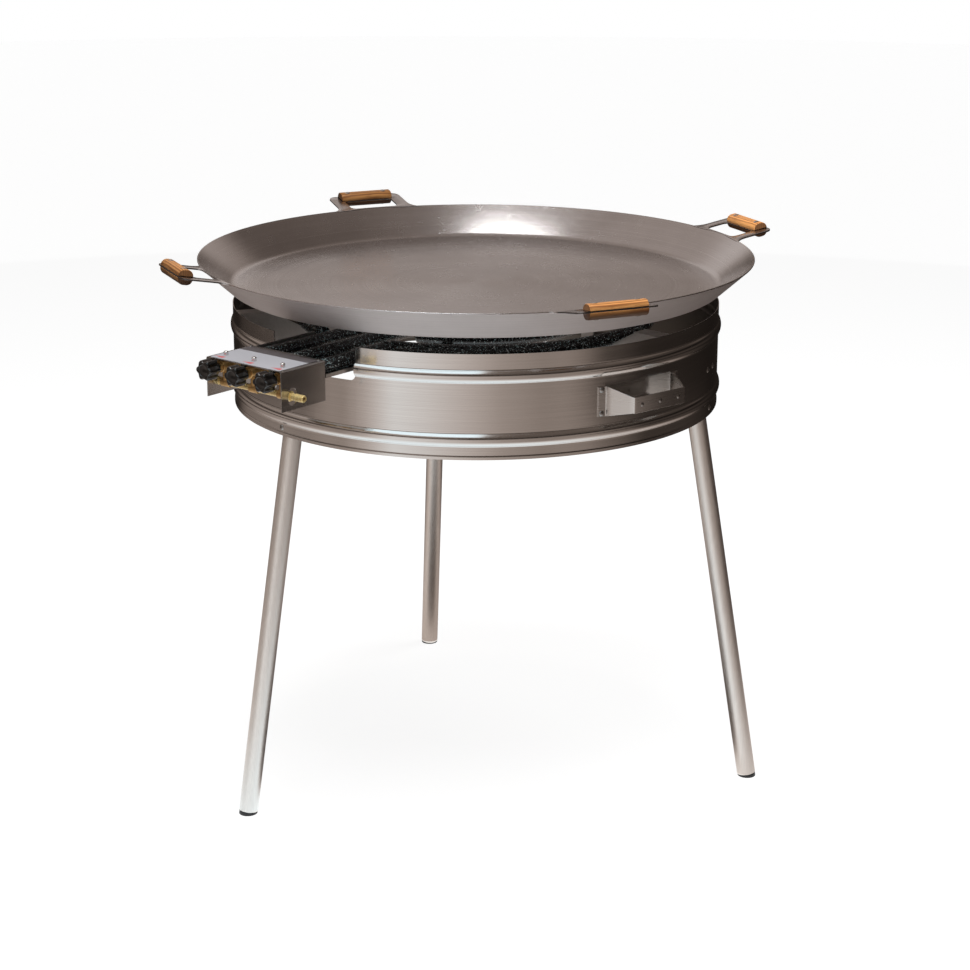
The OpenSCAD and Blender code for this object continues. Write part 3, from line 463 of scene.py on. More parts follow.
wall = math.radians(PAN_WALL_DEG)
pan_floor_r = (PAN_RIM_R - PAN_BEND_R * math.sin(wall)
               - (PAN_RIM_Z - PAN_BASE_Z - PAN_BEND_R * (1 - math.cos(wall))) / math.tan(wall))
pan_edge_r = PAN_RIM_R - PAN_SHEET * math.sin(wall)
pan_edge_z = PAN_RIM_Z + PAN_SHEET * math.cos(wall)
tab_start_z = (PAN_RIM_Z + pan_edge_z) / 2 - PAN_SHEET / 2


def tab_places():
    for k in range(HANDLES):
        deg = HANDLE_AZ + 360 * k / HANDLES
        yield deg, turn(deg) @ shift(pan_edge_r, 0, tab_start_z) @ turn(-TAB_SLOPE_DEG, "Y")


def bowl():
    """The spun pan, with a rounded rim edge."""
    lip = PAN_SHEET / 2
    lip_mid = ((PAN_RIM_R + pan_edge_r) / 2 - lip * math.cos(wall),
               (PAN_RIM_Z + pan_edge_z) / 2 - lip * math.sin(wall))
    bend_mid = (pan_floor_r, PAN_BASE_Z + PAN_BEND_R)
    rings = [pan_floor_r * i / 8 for i in range(8)]
    profile = [(r, PAN_BASE_Z) for r in rings]
    profile += arc_points(bend_mid, PAN_BEND_R, -90, -90 + PAN_WALL_DEG, 10)
    profile += arc_points(lip_mid, lip, PAN_WALL_DEG - 90, PAN_WALL_DEG + 90, 8)
    profile += arc_points(bend_mid, PAN_BEND_R - PAN_SHEET, -90 + PAN_WALL_DEG, -90, 10)
    profile += [(r, PAN_BASE_Z + PAN_SHEET) for r in reversed(rings)]
    return lathe(profile, 240)


def tab_plate():
    """One handle tab with its finger slot, flat on Z = 0 to the sheet's thickness."""
    bm = bmesh.new()
    root_y = TAB_W / 2 + TAB_ROOT_SPREAD
    root_x = math.sqrt(pan_edge_r ** 2 - root_y ** 2) - pan_edge_r - TAB_ROOT_SINK
    side_x = math.sqrt(pan_edge_r ** 2 - (TAB_W / 2) ** 2) - pan_edge_r - TAB_ROOT_SINK
    mid_x, mid_y = TAB_ROOT_MID
    half = [(root_x, root_y, 0), (side_x, TAB_W / 2, 0), (TAB_REACH, TAB_W / 2, 0)]
    outline = half + [(x, -y, z) for x, y, z in reversed(half)] + [(mid_x, -mid_y, 0), (mid_x, mid_y, 0)]
    verts, _ = chain(bm, outline, closed=True)
    bm.faces.new(verts)
    round_corners(bm, [verts[2], verts[3]], TAB_CORNER_R, 8)
    corners = [v for v in bm.verts if abs(v.co.x - side_x) < WELD and abs(abs(v.co.y) - TAB_W / 2) < WELD]
    round_corners(bm, corners, TAB_ROOT_CUT, 8)
    bmesh.ops.delete(bm, geom=list(bm.faces), context="FACES_ONLY")
    x0, x1 = SLOT_FROM_RIM, SLOT_FROM_RIM + SLOT_W
    slot = [(x0, SLOT_LEN / 2, 0), (x1, SLOT_LEN / 2, 0), (x1, -SLOT_LEN / 2, 0), (x0, -SLOT_LEN / 2, 0)]
    slot_verts, _ = chain(bm, slot, closed=True)
    bm.faces.new(slot_verts)
    round_corners(bm, slot_verts, SLOT_CORNER_R, 6)
    bmesh.ops.delete(bm, geom=list(bm.faces), context="FACES_ONLY")
    bmesh.ops.triangle_fill(bm, use_beauty=True, use_dissolve=False, edges=list(bm.edges),
                            normal=(0, 0, 1))
    bmesh.ops.recalc_face_normals(bm, faces=bm.faces)
    grown = bmesh.ops.extrude_face_region(bm, geom=list(bm.faces))
    bmesh.ops.translate(bm, vec=(0, 0, PAN_SHEET), verts=new_verts(grown))
    bmesh.ops.recalc_face_normals(bm, faces=bm.faces)
    round_edges(bm, sharp_edges(bm, 60), TAB_EDGE_R, 2)
    return bm


pan = bowl()
tab = tab_plate()
stamp(pan, tab, *[place for _, place in tab_places()])
tab.free()
make_piece("pan_bowl", pan, "pan", "pan_steel", pan_steel, "pan")


def grip_half():
    """One half of a round wooden grip, flat side on Z = 0, with softened ends."""
    bm = bmesh.new()
    side = GRIP_W / 2
    right = [(side - GRIP_SEAM, 0.0), (side, GRIP_SEAM)]
    right += arc_points((side - GRIP_EDGE_R, GRIP_HALF_T - GRIP_EDGE_R), GRIP_EDGE_R, 0, 90, 12)
    points = [(x, -GRIP_LEN / 2 + GRIP_END, z) for x, z in right + [(-x, z) for x, z in reversed(right)]]
    verts, _ = chain(bm, points, closed=True)
    start = bm.faces.new(verts)
    grown = bmesh.ops.extrude_face_region(bm, geom=[start])
    bmesh.ops.translate(bm, vec=(0, GRIP_LEN - 2 * GRIP_END, 0), verts=new_verts(grown))
    bmesh.ops.recalc_face_normals(bm, faces=bm.faces)
    caps = [f for f in bm.faces if abs(f.normal.y) > 0.9]
    for inset, share in GRIP_CAP_STEPS:
        bmesh.ops.inset_region(bm, faces=caps, thickness=inset, depth=GRIP_END * share)
    bmesh.ops.translate(bm, vec=(GRIP_MID, 0, 0), verts=bm.verts)
    return bm


def rivet_head(radius, height, steps=24):
    """A low domed head that sits on Z = 0, with a short shank below it."""
    ball = (radius * radius + height * height) / (2 * height)
    reach = math.degrees(math.asin(min(1, radius / ball)))
    dome = arc_points((0, height - ball), ball, 90 - reach, 90, 6)
    shank = [(0, -SHANK_LEN), (radius * 0.5, -SHANK_LEN), (radius * 0.5, 0), (radius, 0)]
    return lathe(shank + dome, steps)


half = grip_half()
rivets = bmesh.new()
head = rivet_head(*RIVET_HEAD)
for k, (deg, place) in enumerate(tab_places(), 1):
    wood = stained_wood(f"grip_wood_{k}", deg, GRAIN_STEP * k, GRIP_PAINTED_LIGHT[k - 1])
    above = place @ shift(0, 0, PAN_SHEET)
    below = place @ Matrix.Diagonal((1, 1, -1, 1))
    for side, spot in (("upper", above), ("lower", below)):
        make_piece(f"wood_{side}_{k}", stamped(half, spot), "pan", "grip_wood", wood, f"grip_{side}_{k}")
    for y in (-RIVET_REACH, RIVET_REACH):
        lift = shift(GRIP_MID, y, GRIP_HALF_T)
        stamp(rivets, head, above @ lift, below @ lift)
half.free()
head.free()
make_piece("rivet_heads", rivets, "pan", "fastener", bolt_steel, "grip_rivets")

# Drum
DRUM_R = 421.0
DRUM_Z0 = 652.0
DRUM_Z1 = 825.0
DRUM_SHEET = 1.2
BEAD_H = 21.0
BEAD_OUT = 4.5
BEAD_ZS = (684.0, 788.0)
BEAD_SINK = 0.05
BEAD_TRIM_DEG = 3
# Points beside a bead: out from the sheet, and away from the bead's foot
BEAD_ROOT = ((0.0, 4.0), (0.0, 1.6), (0.08, 0.4))
# Points of the rolled lower hem: out from the sheet, and up from the drum's lower edge
HEM = ((0.7, 0.0), (0.7, 4.0), (0.7, 5.0), (0.0, 6.0), (0.0, 8.0))
# Loops of the sheet, down from the drum's upper edge
RIM_LOOPS = (12.0, 1.0, 0.0)
CUTOUT_HALF = 89.0
CUTOUT_Z = 770.0
CUTOUT_R = 10.0
CUTOUT_ARC = (15, 30, 45, 60, 75)
FRONT_Y = -300.0
FRONT_HALF = 130.0
drum_mid_r = DRUM_R - DRUM_SHEET / 2


def bead_points(z):
    """A rolled bead on the drum's side: a low arch with soft roots and a flat beside each root."""
    rise = BEAD_OUT - BEAD_SINK
    radius = (BEAD_H ** 2 / 4 + rise ** 2) / (2 * rise)
    reach = math.degrees(math.asin(BEAD_H / 2 / radius)) - BEAD_TRIM_DEG
    low = [(drum_mid_r + out, z - BEAD_H / 2 - away) for out, away in BEAD_ROOT]
    arch = arc_points((drum_mid_r + rise - radius, z), radius, -reach, reach, 18)
    return low + arch + [(r, 2 * z - h) for r, h in reversed(low)]


def drum_shell():
    """The drum's sheet with its hem and beads, and the cut-out for the burner tubes at the front."""
    profile = [(drum_mid_r + out, DRUM_Z0 + up) for out, up in HEM]
    for z in BEAD_ZS:
        profile += bead_points(z)
    profile += [(drum_mid_r, DRUM_Z1 - down) for down in RIM_LOOPS]
    bm = lathe(profile, 288)
    middles = {f: f.calc_center_median() for f in bm.faces}
    near = [f for f, p in middles.items() if p.y < FRONT_Y and abs(p.x) < FRONT_HALF]

    def cut(point, normal):
        geom = [g for f in near if f.is_valid for g in [f, *f.edges, *f.verts]]
        made = bmesh.ops.bisect_plane(bm, geom=list(dict.fromkeys(geom)), dist=WELD,
                                      plane_co=point, plane_no=normal)
        return [g for g in made["geom"] if isinstance(g, bmesh.types.BMFace)]

    near = cut((0, 0, CUTOUT_Z), (0, 0, 1))
    for side in (-1, 1):
        near = cut((side * CUTOUT_HALF, 0, 0), (1, 0, 0))
        mid = (side * (CUTOUT_HALF - CUTOUT_R), 0, CUTOUT_Z + CUTOUT_R)
        for deg in CUTOUT_ARC:
            way = Vector((side * math.cos(math.radians(deg)), 0, -math.sin(math.radians(deg))))
            near = cut(Vector(mid) + way * CUTOUT_R, way)

    def inside(p):
        if p.y > FRONT_Y or p.z < CUTOUT_Z or abs(p.x) > CUTOUT_HALF:
            return False
        out = Vector((abs(p.x) - (CUTOUT_HALF - CUTOUT_R), CUTOUT_Z + CUTOUT_R - p.z))
        return min(out) < 0 or out.length < CUTOUT_R * 1.01

    gone = [f for f in bm.faces if inside(f.calc_center_median())]
    bmesh.ops.delete(bm, geom=gone, context="FACES")
    return bm


make_piece("drum", drum_shell(), "stand", "stainless", drum_steel, "drum_shell",
           sheet=DRUM_SHEET, edge=0.25, crease_deg=50)

# Legs and feet
LEG_AZ = 20.0
LEGS = 3
LEG_R = 16.0
LEG_BORE_R = 14.5
LEG_SPLAY_DEG = 9.64
LEG_FLOOR_R = 509.3
LEG_LEN = 750.0
FOOT_SHOW = 5.0
FOOT_SPIGOT = 25.0
LEG_EDGE = 0.5
SPIGOT_ROOM = 0.1
SPIGOT_EDGE = 2.0
SOLE_Z = 0.02
SOLE_EDGE_R = 1.0


def leg_place(k):
    return turn(LEG_AZ + 360 * k / LEGS) @ shift(LEG_FLOOR_R, 0, 0) @ turn(-LEG_SPLAY_DEG, "Y")


spigot_r = LEG_BORE_R - SPIGOT_ROOM
spigot_top = FOOT_SHOW + FOOT_SPIGOT
leg_profile = [(LEG_BORE_R, FOOT_SHOW), (LEG_R - LEG_EDGE, FOOT_SHOW), (LEG_R, FOOT_SHOW + LEG_EDGE),
               (LEG_R, LEG_LEN - LEG_EDGE), (LEG_R - LEG_EDGE, LEG_LEN), (LEG_BORE_R, LEG_LEN)]
foot_profile = [(0, -LEG_R), (LEG_R - 0.4, -LEG_R), (LEG_R - 0.4, FOOT_SHOW - 1.2),
                (LEG_R - 1.0, FOOT_SHOW - SPIGOT_ROOM), (spigot_r, FOOT_SHOW - SPIGOT_ROOM),
                (spigot_r, spigot_top - SPIGOT_EDGE), (LEG_BORE_R - SPIGOT_EDGE, spigot_top),
                (0, spigot_top)]
for k in range(LEGS):
    tube = lathe(leg_profile, 64, closed=True)
    move(tube, leg_place(k))
    make_piece(f"leg_tube_{k + 1}", tube, f"leg_{k + 1}", "stainless", tube_steel, f"leg_{k + 1}")
    foot = lathe(foot_profile, 64)
    move(foot, leg_place(k))
    bmesh.ops.bisect_plane(foot, geom=[*foot.verts, *foot.edges, *foot.faces], dist=WELD,
                           plane_co=(0, 0, SOLE_Z), plane_no=(0, 0, -1), clear_outer=True)
    sole = bmesh.ops.edgeloop_fill(foot, edges=[e for e in foot.edges if e.is_boundary])["faces"]
    round_edges(foot, {e for f in sole for e in f.edges}, SOLE_EDGE_R, 3)
    make_piece(f"foot_plug_{k + 1}", foot, f"leg_{k + 1}", "foot_plastic", foot_black,
               f"leg_foot_{k + 1}")

# Burner
BURNER_Z = 798.0
TUBE_R = 12.5
TUBE_WALL = 2.0
RING_R = 13.0
RING_SIDES = 32
RING_END_R = 1.5
OUTER_R = 300.0
MIDDLE_R = 200.0
INNER_R = 100.0
PITCH = 62.0
TAP_XS = (-PITCH, 0, PITCH)
MOUTH_Y = 508.0
MOUTH_ROLL = 0.8
BORE_END = 60.0
END_ROOM = 25.0
# The weld of a tube to its ring: out from the tube, and along it from the ring's middle
WELD_BEAD = ((0.0, 17.5), (1.3, 16.2), (1.8, 14.0), (1.0, 10.0))
PORT_PITCH = 7.0
PORT_ROWS = ((48, 60), (120, 132))
PORT_RIM = 0.55
PORT_TAPER = 0.12
PORT_DEPTH = 2.4


def ring_deg(x, radius):
    return math.degrees(math.asin(x / radius))


def port_pitches(deg, radius):
    """The number of port pitches along an arc."""
    return round(deg * math.pi / 180 * radius / PORT_PITCH)


def ring_arc(radius, deg0, deg1):
    """A bent pipe with closed ends and two rows of flame ports."""
    bm = bmesh.new()
    bmesh.ops.create_circle(bm, cap_ends=False, radius=RING_R, segments=RING_SIDES,
                            matrix=shift(radius, 0, 0) @ turn(90, "X"))
    bmesh.ops.rotate(bm, cent=(0, 0, 0), matrix=turn(deg0).to_3x3(), verts=list(bm.verts))
    whole = abs(deg1 - deg0) >= 360
    bmesh.ops.spin(bm, geom=list(bm.verts) + list(bm.edges), cent=(0, 0, 0), axis=(0, 0, 1),
                   angle=math.radians(deg1 - deg0), steps=port_pitches(abs(deg1 - deg0), radius),
                   use_merge=whole)
    if not whole:
        rims = [e for e in bm.edges if e.is_boundary]
        ends = bmesh.ops.holes_fill(bm, edges=rims, sides=RING_SIDES)["faces"]
        round_edges(bm, {e for f in ends for e in f.edges}, RING_END_R, 2)
    bmesh.ops.recalc_face_normals(bm, faces=bm.faces)
    ports = []
    for f in bm.faces:
        p = f.calc_center_median()
        tilt = math.degrees(math.atan2(p.z, math.hypot(p.x, p.y) - radius))
        pitch_no = port_pitches(math.degrees(math.atan2(p.y, p.x)) % 360, radius)
        in_row = any(low < tilt < high for low, high in PORT_ROWS)
        if pitch_no % 2 == 0 and in_row and len(f.verts) == 4:
            ports.append(f)
    bmesh.ops.inset_individual(bm, faces=ports, thickness=PORT_RIM, depth=0.0)
    bmesh.ops.inset_individual(bm, faces=ports, thickness=PORT_TAPER, depth=-PORT_DEPTH)
    return bm


def feed_tube(x, y_in):
    """A mixer tube from its open mouth to its ring, with a rolled mouth and a weld at the ring."""
    length = MOUTH_Y - y_in
    bore = TUBE_R - TUBE_WALL
    profile = [(bore, BORE_END), (bore, length - MOUTH_ROLL), (bore + MOUTH_ROLL, length),
               (TUBE_R - MOUTH_ROLL, length), (TUBE_R, length - MOUTH_ROLL)]
    profile += [(TUBE_R + out, along) for out, along in WELD_BEAD]
    profile += [(0, WELD_BEAD[-1][1]), (0, BORE_END)]
    bm = lathe(profile, 48)
    move(bm, shift(x, -y_in, 0) @ turn(90, "X"))
    return bm


outer_deg = (-90 + ring_deg(PITCH, OUTER_R), 270 - ring_deg(PITCH + TUBE_R + END_ROOM, OUTER_R))
middle_deg = (270 - ring_deg(PITCH, MIDDLE_R), -90 + ring_deg(TUBE_R + END_ROOM, MIDDLE_R))
feeds = {
    "outer": (OUTER_R, outer_deg, PITCH),
    "middle": (MIDDLE_R, middle_deg, -PITCH),
    "inner": (INNER_R, (0, 360), 0),
}
for name, (radius, ring_degs, x) in feeds.items():
    pipe = ring_arc(radius, *ring_degs)
    tube = feed_tube(x, radius * math.cos(math.radians(ring_deg(x, radius))))
    stamp(pipe, tube, shift(0, 0, 0))
    tube.free()
    bmesh.ops.translate(pipe, vec=(0, 0, BURNER_Z), verts=pipe.verts)
    make_piece(f"ring_pipe_{name}", pipe, "stand", "enamel", enamel, f"burner_ring_{name}")

# Control cover
COVER_W = 163.0
COVER_FRONT_Y = -573.0
COVER_BACK_Y = -473.0
COVER_TOP_Z = 814.0
COVER_LOW_Z = 748.5
COVER_SHEET = 1.2
COVER_BEND_R = 2.2
TAP_Y = -548.0
MANIFOLD_Z = 770.0
INLET_W = 18.0
INLET_H = 28.0
FILM_HALF_W = 76.0
FILM_FRONT_Y = -571.0
FILM_BACK_Y = -481.0
FILM_SINK = 0.1
FILM_T = 0.35
FILM_CORNER_R = 4.0
WEDGE_LEFT = 2.0
WEDGE_AHEAD = 13.0
WEDGE_REACH = 11.0
WEDGE_HALF_W = (0.4, 4.6)
BAND_Y = -504.5
BAND_BLUR = 0.5


def cover_sheet():
    """An inverted U of sheet with bent corners and a slot for the inlet on the +X side."""
    bm = bmesh.new()
    side = (COVER_W - COVER_SHEET) / 2
    top = COVER_TOP_Z - COVER_SHEET / 2
    bend = arc_points((side - COVER_BEND_R, top - COVER_BEND_R), COVER_BEND_R, 0, 90, 5)
    right = [(side, COVER_LOW_Z)] + bend
    section = right + [(-x, z) for x, z in reversed(right)]
    _, edges = chain(bm, [(x, COVER_FRONT_Y, z) for x, z in section])
    grown = bmesh.ops.extrude_edge_only(bm, edges=edges)
    bmesh.ops.translate(bm, vec=(0, COVER_BACK_Y - COVER_FRONT_Y, 0), verts=new_verts(grown))
    plate = max(bm.faces, key=lambda f: f.calc_center_median().x * 1000 + f.calc_area())
    rim = list(plate.edges)
    bmesh.ops.delete(bm, geom=[plate], context="FACES_ONLY")
    loop = bmesh.ops.create_circle(bm, segments=28, radius=INLET_W / 2)["verts"]
    for v in loop:
        v.co.x += math.copysign((INLET_H - INLET_W) / 2, v.co.x)
    bmesh.ops.transform(bm, matrix=shift(side, TAP_Y, MANIFOLD_Z) @ turn(90, "Y"), verts=loop)
    slot_edges = [e for e in bm.edges if e.verts[0] in loop and e.verts[1] in loop]
    bmesh.ops.triangle_fill(bm, use_beauty=True, use_dissolve=False, edges=rim + slot_edges,
                            normal=(1, 0, 0))
    bmesh.ops.recalc_face_normals(bm, faces=bm.faces)
    return bm


make_piece("cover_sheet", cover_sheet(), "stand", "stainless", cover_steel, "control_cover",
           sheet=COVER_SHEET, edge=0.25, crease_deg=30)


def panel_print():
    """Pale panel film with three tapered red marks and a dark band at its back edge."""
    f = Finish("panel_print", IOR=1.45)
    x, y, _ = f.axes(f.place())
    speck = f.noise(f.place(), 500.0, 3.0)
    cloud = f.noise(f.place(), 18.0, 3.0)
    colour = f.blend(cloud, (0.37, 0.37, 0.395, 1), (0.43, 0.43, 0.46, 1))
    mark = None
    for tap in TAP_XS:
        along = (x - (tap - WEDGE_LEFT) * MM) * (1 / MM)
        across = (y - (TAP_Y - WEDGE_AHEAD) * MM) * (1 / MM)
        half = f.spread(along, -WEDGE_REACH, WEDGE_REACH, *WEDGE_HALF_W)
        wedge = (f.spread(half - across.math("ABSOLUTE"), -0.3, 0.3)
                 * f.spread(along.math("ABSOLUTE") * -1, -WEDGE_REACH - 0.4, -WEDGE_REACH + 0.2))
        mark = wedge if mark is None else mark + wedge
    colour = f.blend(mark * 0.85, colour, (0.56, 0.060, 0.065, 1))
    band = f.spread(y, BAND_Y * MM, (BAND_Y + BAND_BLUR) * MM)
    colour = f.blend(band, colour, (0.085, 0.075, 0.078, 1))
    return f.put(Base_Color=colour, Roughness=0.34 + (speck - 0.5) * 0.10 + (cloud - 0.5) * 0.08,
                 Normal=f.bump(speck, 0.04, 0.0002))


film = block(-FILM_HALF_W, FILM_HALF_W, FILM_FRONT_Y, FILM_BACK_Y,
             COVER_TOP_Z - FILM_SINK, COVER_TOP_Z + FILM_T)
upright = [e for e in film.edges if abs(e.verts[0].co.z - e.verts[1].co.z) > FILM_SINK]
round_edges(film, upright, FILM_CORNER_R, 5)
make_piece("panel_film", film, "stand", None, panel_print())

# Screws
SHELL_HEAD = (5.0, 2.4)
SMALL_HEAD = (3.5, 1.8)
DOME_HEAD = (4.0, 7.5)
RECESS_RIM = 0.25
RECESS_SHARE = 0.35
LEG_SCREW_DEG = 2.25
LEG_SCREW_Z = 734.5
LOCK_SCREW_Z = 665.0
COVER_SCREW_X = 74.3
COVER_SCREW_Y = -480.0


def dome_screw(radius, height, recess=True):
    """A domed screw head on Z = 0 with a short shank and, if wanted, a round recess in its crown."""
    bm = rivet_head(radius, height, 36)
    if recess:
        top = [v for v in bm.verts if v.co.z > height - 0.02]
        crown = [f for f in bm.faces if any(v in f.verts for v in top)]
        flat = bmesh.ops.dissolve_faces(bm, faces=crown)["region"]
        bmesh.ops.inset_region(bm, faces=flat, thickness=RECESS_RIM, depth=0)
        bmesh.ops.translate(bm, vec=(0, 0, -height * RECESS_SHARE),
                            verts=list({v for f in flat for v in f.verts}))
    return bm


def on_shell(deg, z, out=0.0):
    return turn(deg) @ shift(DRUM_R + out, 0, z) @ turn(90, "Y")


shell_head = dome_screw(*SHELL_HEAD)
leg_screws = bmesh.new()
lock_screws = bmesh.new()
for k in range(LEGS):
    deg = LEG_AZ + 360 * k / LEGS
    for side in (-LEG_SCREW_DEG, LEG_SCREW_DEG):
        stamp(leg_screws, shell_head, on_shell(deg + side, LEG_SCREW_Z))
    stamp(lock_screws, shell_head, on_shell(deg, LOCK_SCREW_Z))
make_piece("leg_screw_heads", leg_screws, "stand", "fastener", shaded_screw_steel, "leg_socket_screws")
make_piece("lock_screw_heads", lock_screws, "stand", "fastener", shaded_screw_steel, "leg_lock_screws")

small_head = dome_screw(*SMALL_HEAD)
cover_heads = stamped(small_head, *[shift(x, COVER_SCREW_Y, COVER_TOP_Z)
                                    for x in (-COVER_SCREW_X, COVER_SCREW_X)])
make_piece("cover_screw_heads", cover_heads, "stand", "fastener", shaded_screw_steel, "cover_screws")
dome = dome_screw(*DOME_HEAD, recess=False)
dome_heads = stamped(dome, *[shift(x, TAP_Y, COVER_TOP_Z) for x in TAP_XS])
make_piece("dome_heads", dome_heads, "stand", "fastener", bolt_steel, "dome_screws")

# Gas train; a turned profile is a row of (radius, height) points
PIPE_X = -76.0
PIPE_LEN = 148.0
PIPE_R = 5.5
PIPE_BORE_R = 4.0
PIPE_EDGE = 0.5
PLUG_R = 7.0
PLUG_LEN = 3.5
COLLAR_R = 8.5
COLLAR_LEN = 8.0
TAIL = ((3.0, 6), (5.2, 6), (5.2, 15.4), (6.0, 16.0), (6.0, 33.6), (5.0, 35.0), (3.0, 35.0))
TAP_BACK_Y = -524.0
TAP_BODY = ((0, 0), (6.5, 0), (8.6, 0.8), (8.6, 5.0), (9.5, 5.8), (9.5, 15.5), (8.9, 16.2), (8.9, 18.2),
            (9.5, 19.0), (9.5, 37.2), (8.8, 38.0), (5.2, 38.0))
BONNET_R = 9.0
BONNET_LEN = 5.0
COLUMN = ((6.5, 0), (6.5, 34.0), (5.8, 35.2), (5.8, 41.0), (5.2, 42.4), (0, 42.4))
SADDLE_LEN = 18.0
SADDLE = ((5.55, 0), (6.9, 0), (7.5, 0.6), (7.5, SADDLE_LEN - 0.6), (6.9, SADDLE_LEN), (5.55, SADDLE_LEN))


def along_pipe(x):
    return shift(x, TAP_Y, MANIFOLD_Z) @ turn(90, "Y")


def out_from_panel(x, y, z):
    return shift(x, y, z) @ turn(90, "X")


pipe_half = [(PIPE_BORE_R, 0), (PIPE_R - PIPE_EDGE, 0), (PIPE_R, PIPE_EDGE)]
pipe = lathe(pipe_half + [(r, PIPE_LEN - z) for r, z in reversed(pipe_half)], 40, closed=True)
move(pipe, along_pipe(PIPE_X))
make_piece("gas_pipe", pipe, "stand", "brass", brass, "manifold")

plug = prism(6, PLUG_R, PLUG_LEN, 0.4)
move(plug, along_pipe(PIPE_X - PLUG_LEN))
make_piece("pipe_plug", plug, "stand", "brass", brass, "manifold_end_plug")

nozzle = prism(6, COLLAR_R, COLLAR_LEN, 0.5)
tail = lathe(TAIL, 40, closed=True)
stamp(nozzle, tail, shift(0, 0, 0))
move(nozzle, along_pipe(PIPE_X + PIPE_LEN))
make_piece("inlet_nozzle", nozzle, "stand", "brass", brass, "hose_nozzle")

KNOB_R = 17.5
KNOB_LOBES = 6
KNOB_BACK_Y = -577.0
KNOB_DEPTH = 23.0
NECK_BACK_Y = -571.0
NECK_R = 9.0


def lobe(angle, radius, depth):
    """Distance of a lobed outline from its centre."""
    wave = 0.5 + 0.5 * math.cos(KNOB_LOBES * angle)
    return radius * (1 - depth * (1 - wave ** 0.8))


def knob():
    """A lobed knob that grows along +Z from its neck to its dished front."""
    bm = bmesh.new()
    bmesh.ops.create_circle(bm, cap_ends=True, radius=NECK_R, segments=96)
    loop = list(bm.edges)
    back = NECK_BACK_Y - KNOB_BACK_Y
    front = back + KNOB_DEPTH
    steps = [(back - 0.2, NECK_R, 0), (back, 11.0, 0), (back, 15.2, 0.18), (back + 0.7, 16.8, 0.22),
             (back + 2.2, KNOB_R, 0.24), (front - 5.5, KNOB_R, 0.24), (front - 3.0, 17.2, 0.24),
             (front - 1.4, 16.4, 0.23), (front - 0.4, 15.0, 0.20), (front, 13.2, 0.14),
             (front, 11.4, 0.06), (front - 0.1, 10.2, 0), (front - 0.9, 9.6, 0), (front - 1.3, 8.6, 0),
             (front - 1.3, 0.3, 0)]
    for height, radius, depth in steps:
        grown = bmesh.ops.extrude_edge_only(bm, edges=loop)
        fresh = new_verts(grown)
        loop = [e for e in grown["geom"] if isinstance(e, bmesh.types.BMEdge)
                and all(v in fresh for v in e.verts)]
        for v in fresh:
            a = math.atan2(v.co.y, v.co.x)
            r = lobe(a, radius, depth)
            v.co = Vector((r * math.cos(a), r * math.sin(a), height))
    bmesh.ops.edgeloop_fill(bm, edges=loop)
    return bm


tap_body = lathe(TAP_BODY, 48)
bonnet = prism(6, BONNET_R, BONNET_LEN, 0.5)
column = lathe(COLUMN, 40)
saddle = lathe(SADDLE, 48, closed=True)
knob_form = knob()
for k, x in enumerate(TAP_XS, 1):
    tap = stamped(tap_body, out_from_panel(x, TAP_BACK_Y, BURNER_Z))
    stamp(tap, bonnet, out_from_panel(x, TAP_BACK_Y - TAP_BODY[-1][1], BURNER_Z))
    stamp(tap, column, shift(x, TAP_Y, MANIFOLD_Z))
    stamp(tap, saddle, along_pipe(x - SADDLE_LEN / 2))
    make_piece(f"tap_casting_{k}", tap, "stand", "brass", bronze, f"tap_body_{k}")
    cap = stamped(knob_form, out_from_panel(x, NECK_BACK_Y, BURNER_Z))
    make_piece(f"knob_cap_{k}", cap, f"tap_push_{k}", "knob_plastic", knob_black, f"knob_{k}")

# Carry handles
CARRY_AZ = -11.0
CARRIES = 2
CARRY_ROOT_W = 149.0
CARRY_REACH = 44.0
CARRY_SHEET = 2.0
CARRY_MID_Z = 735.5
CARRY_ROOT_H = 49.0
CARRY_FRONT_H = 26.5
CARRY_FRONT_HALF = 54.8
CARRY_FLANGE_W = 14.0
CARRY_DROP = 1.0
CARRY_SCREW_DEG = 11.09
CARRY_SCREW_RISE = 19.5
CARRY_RIVET_YS = (-40.0, 0.0, 40.0)
CARRY_RIVET_HEAD = (3.5, 1.4)


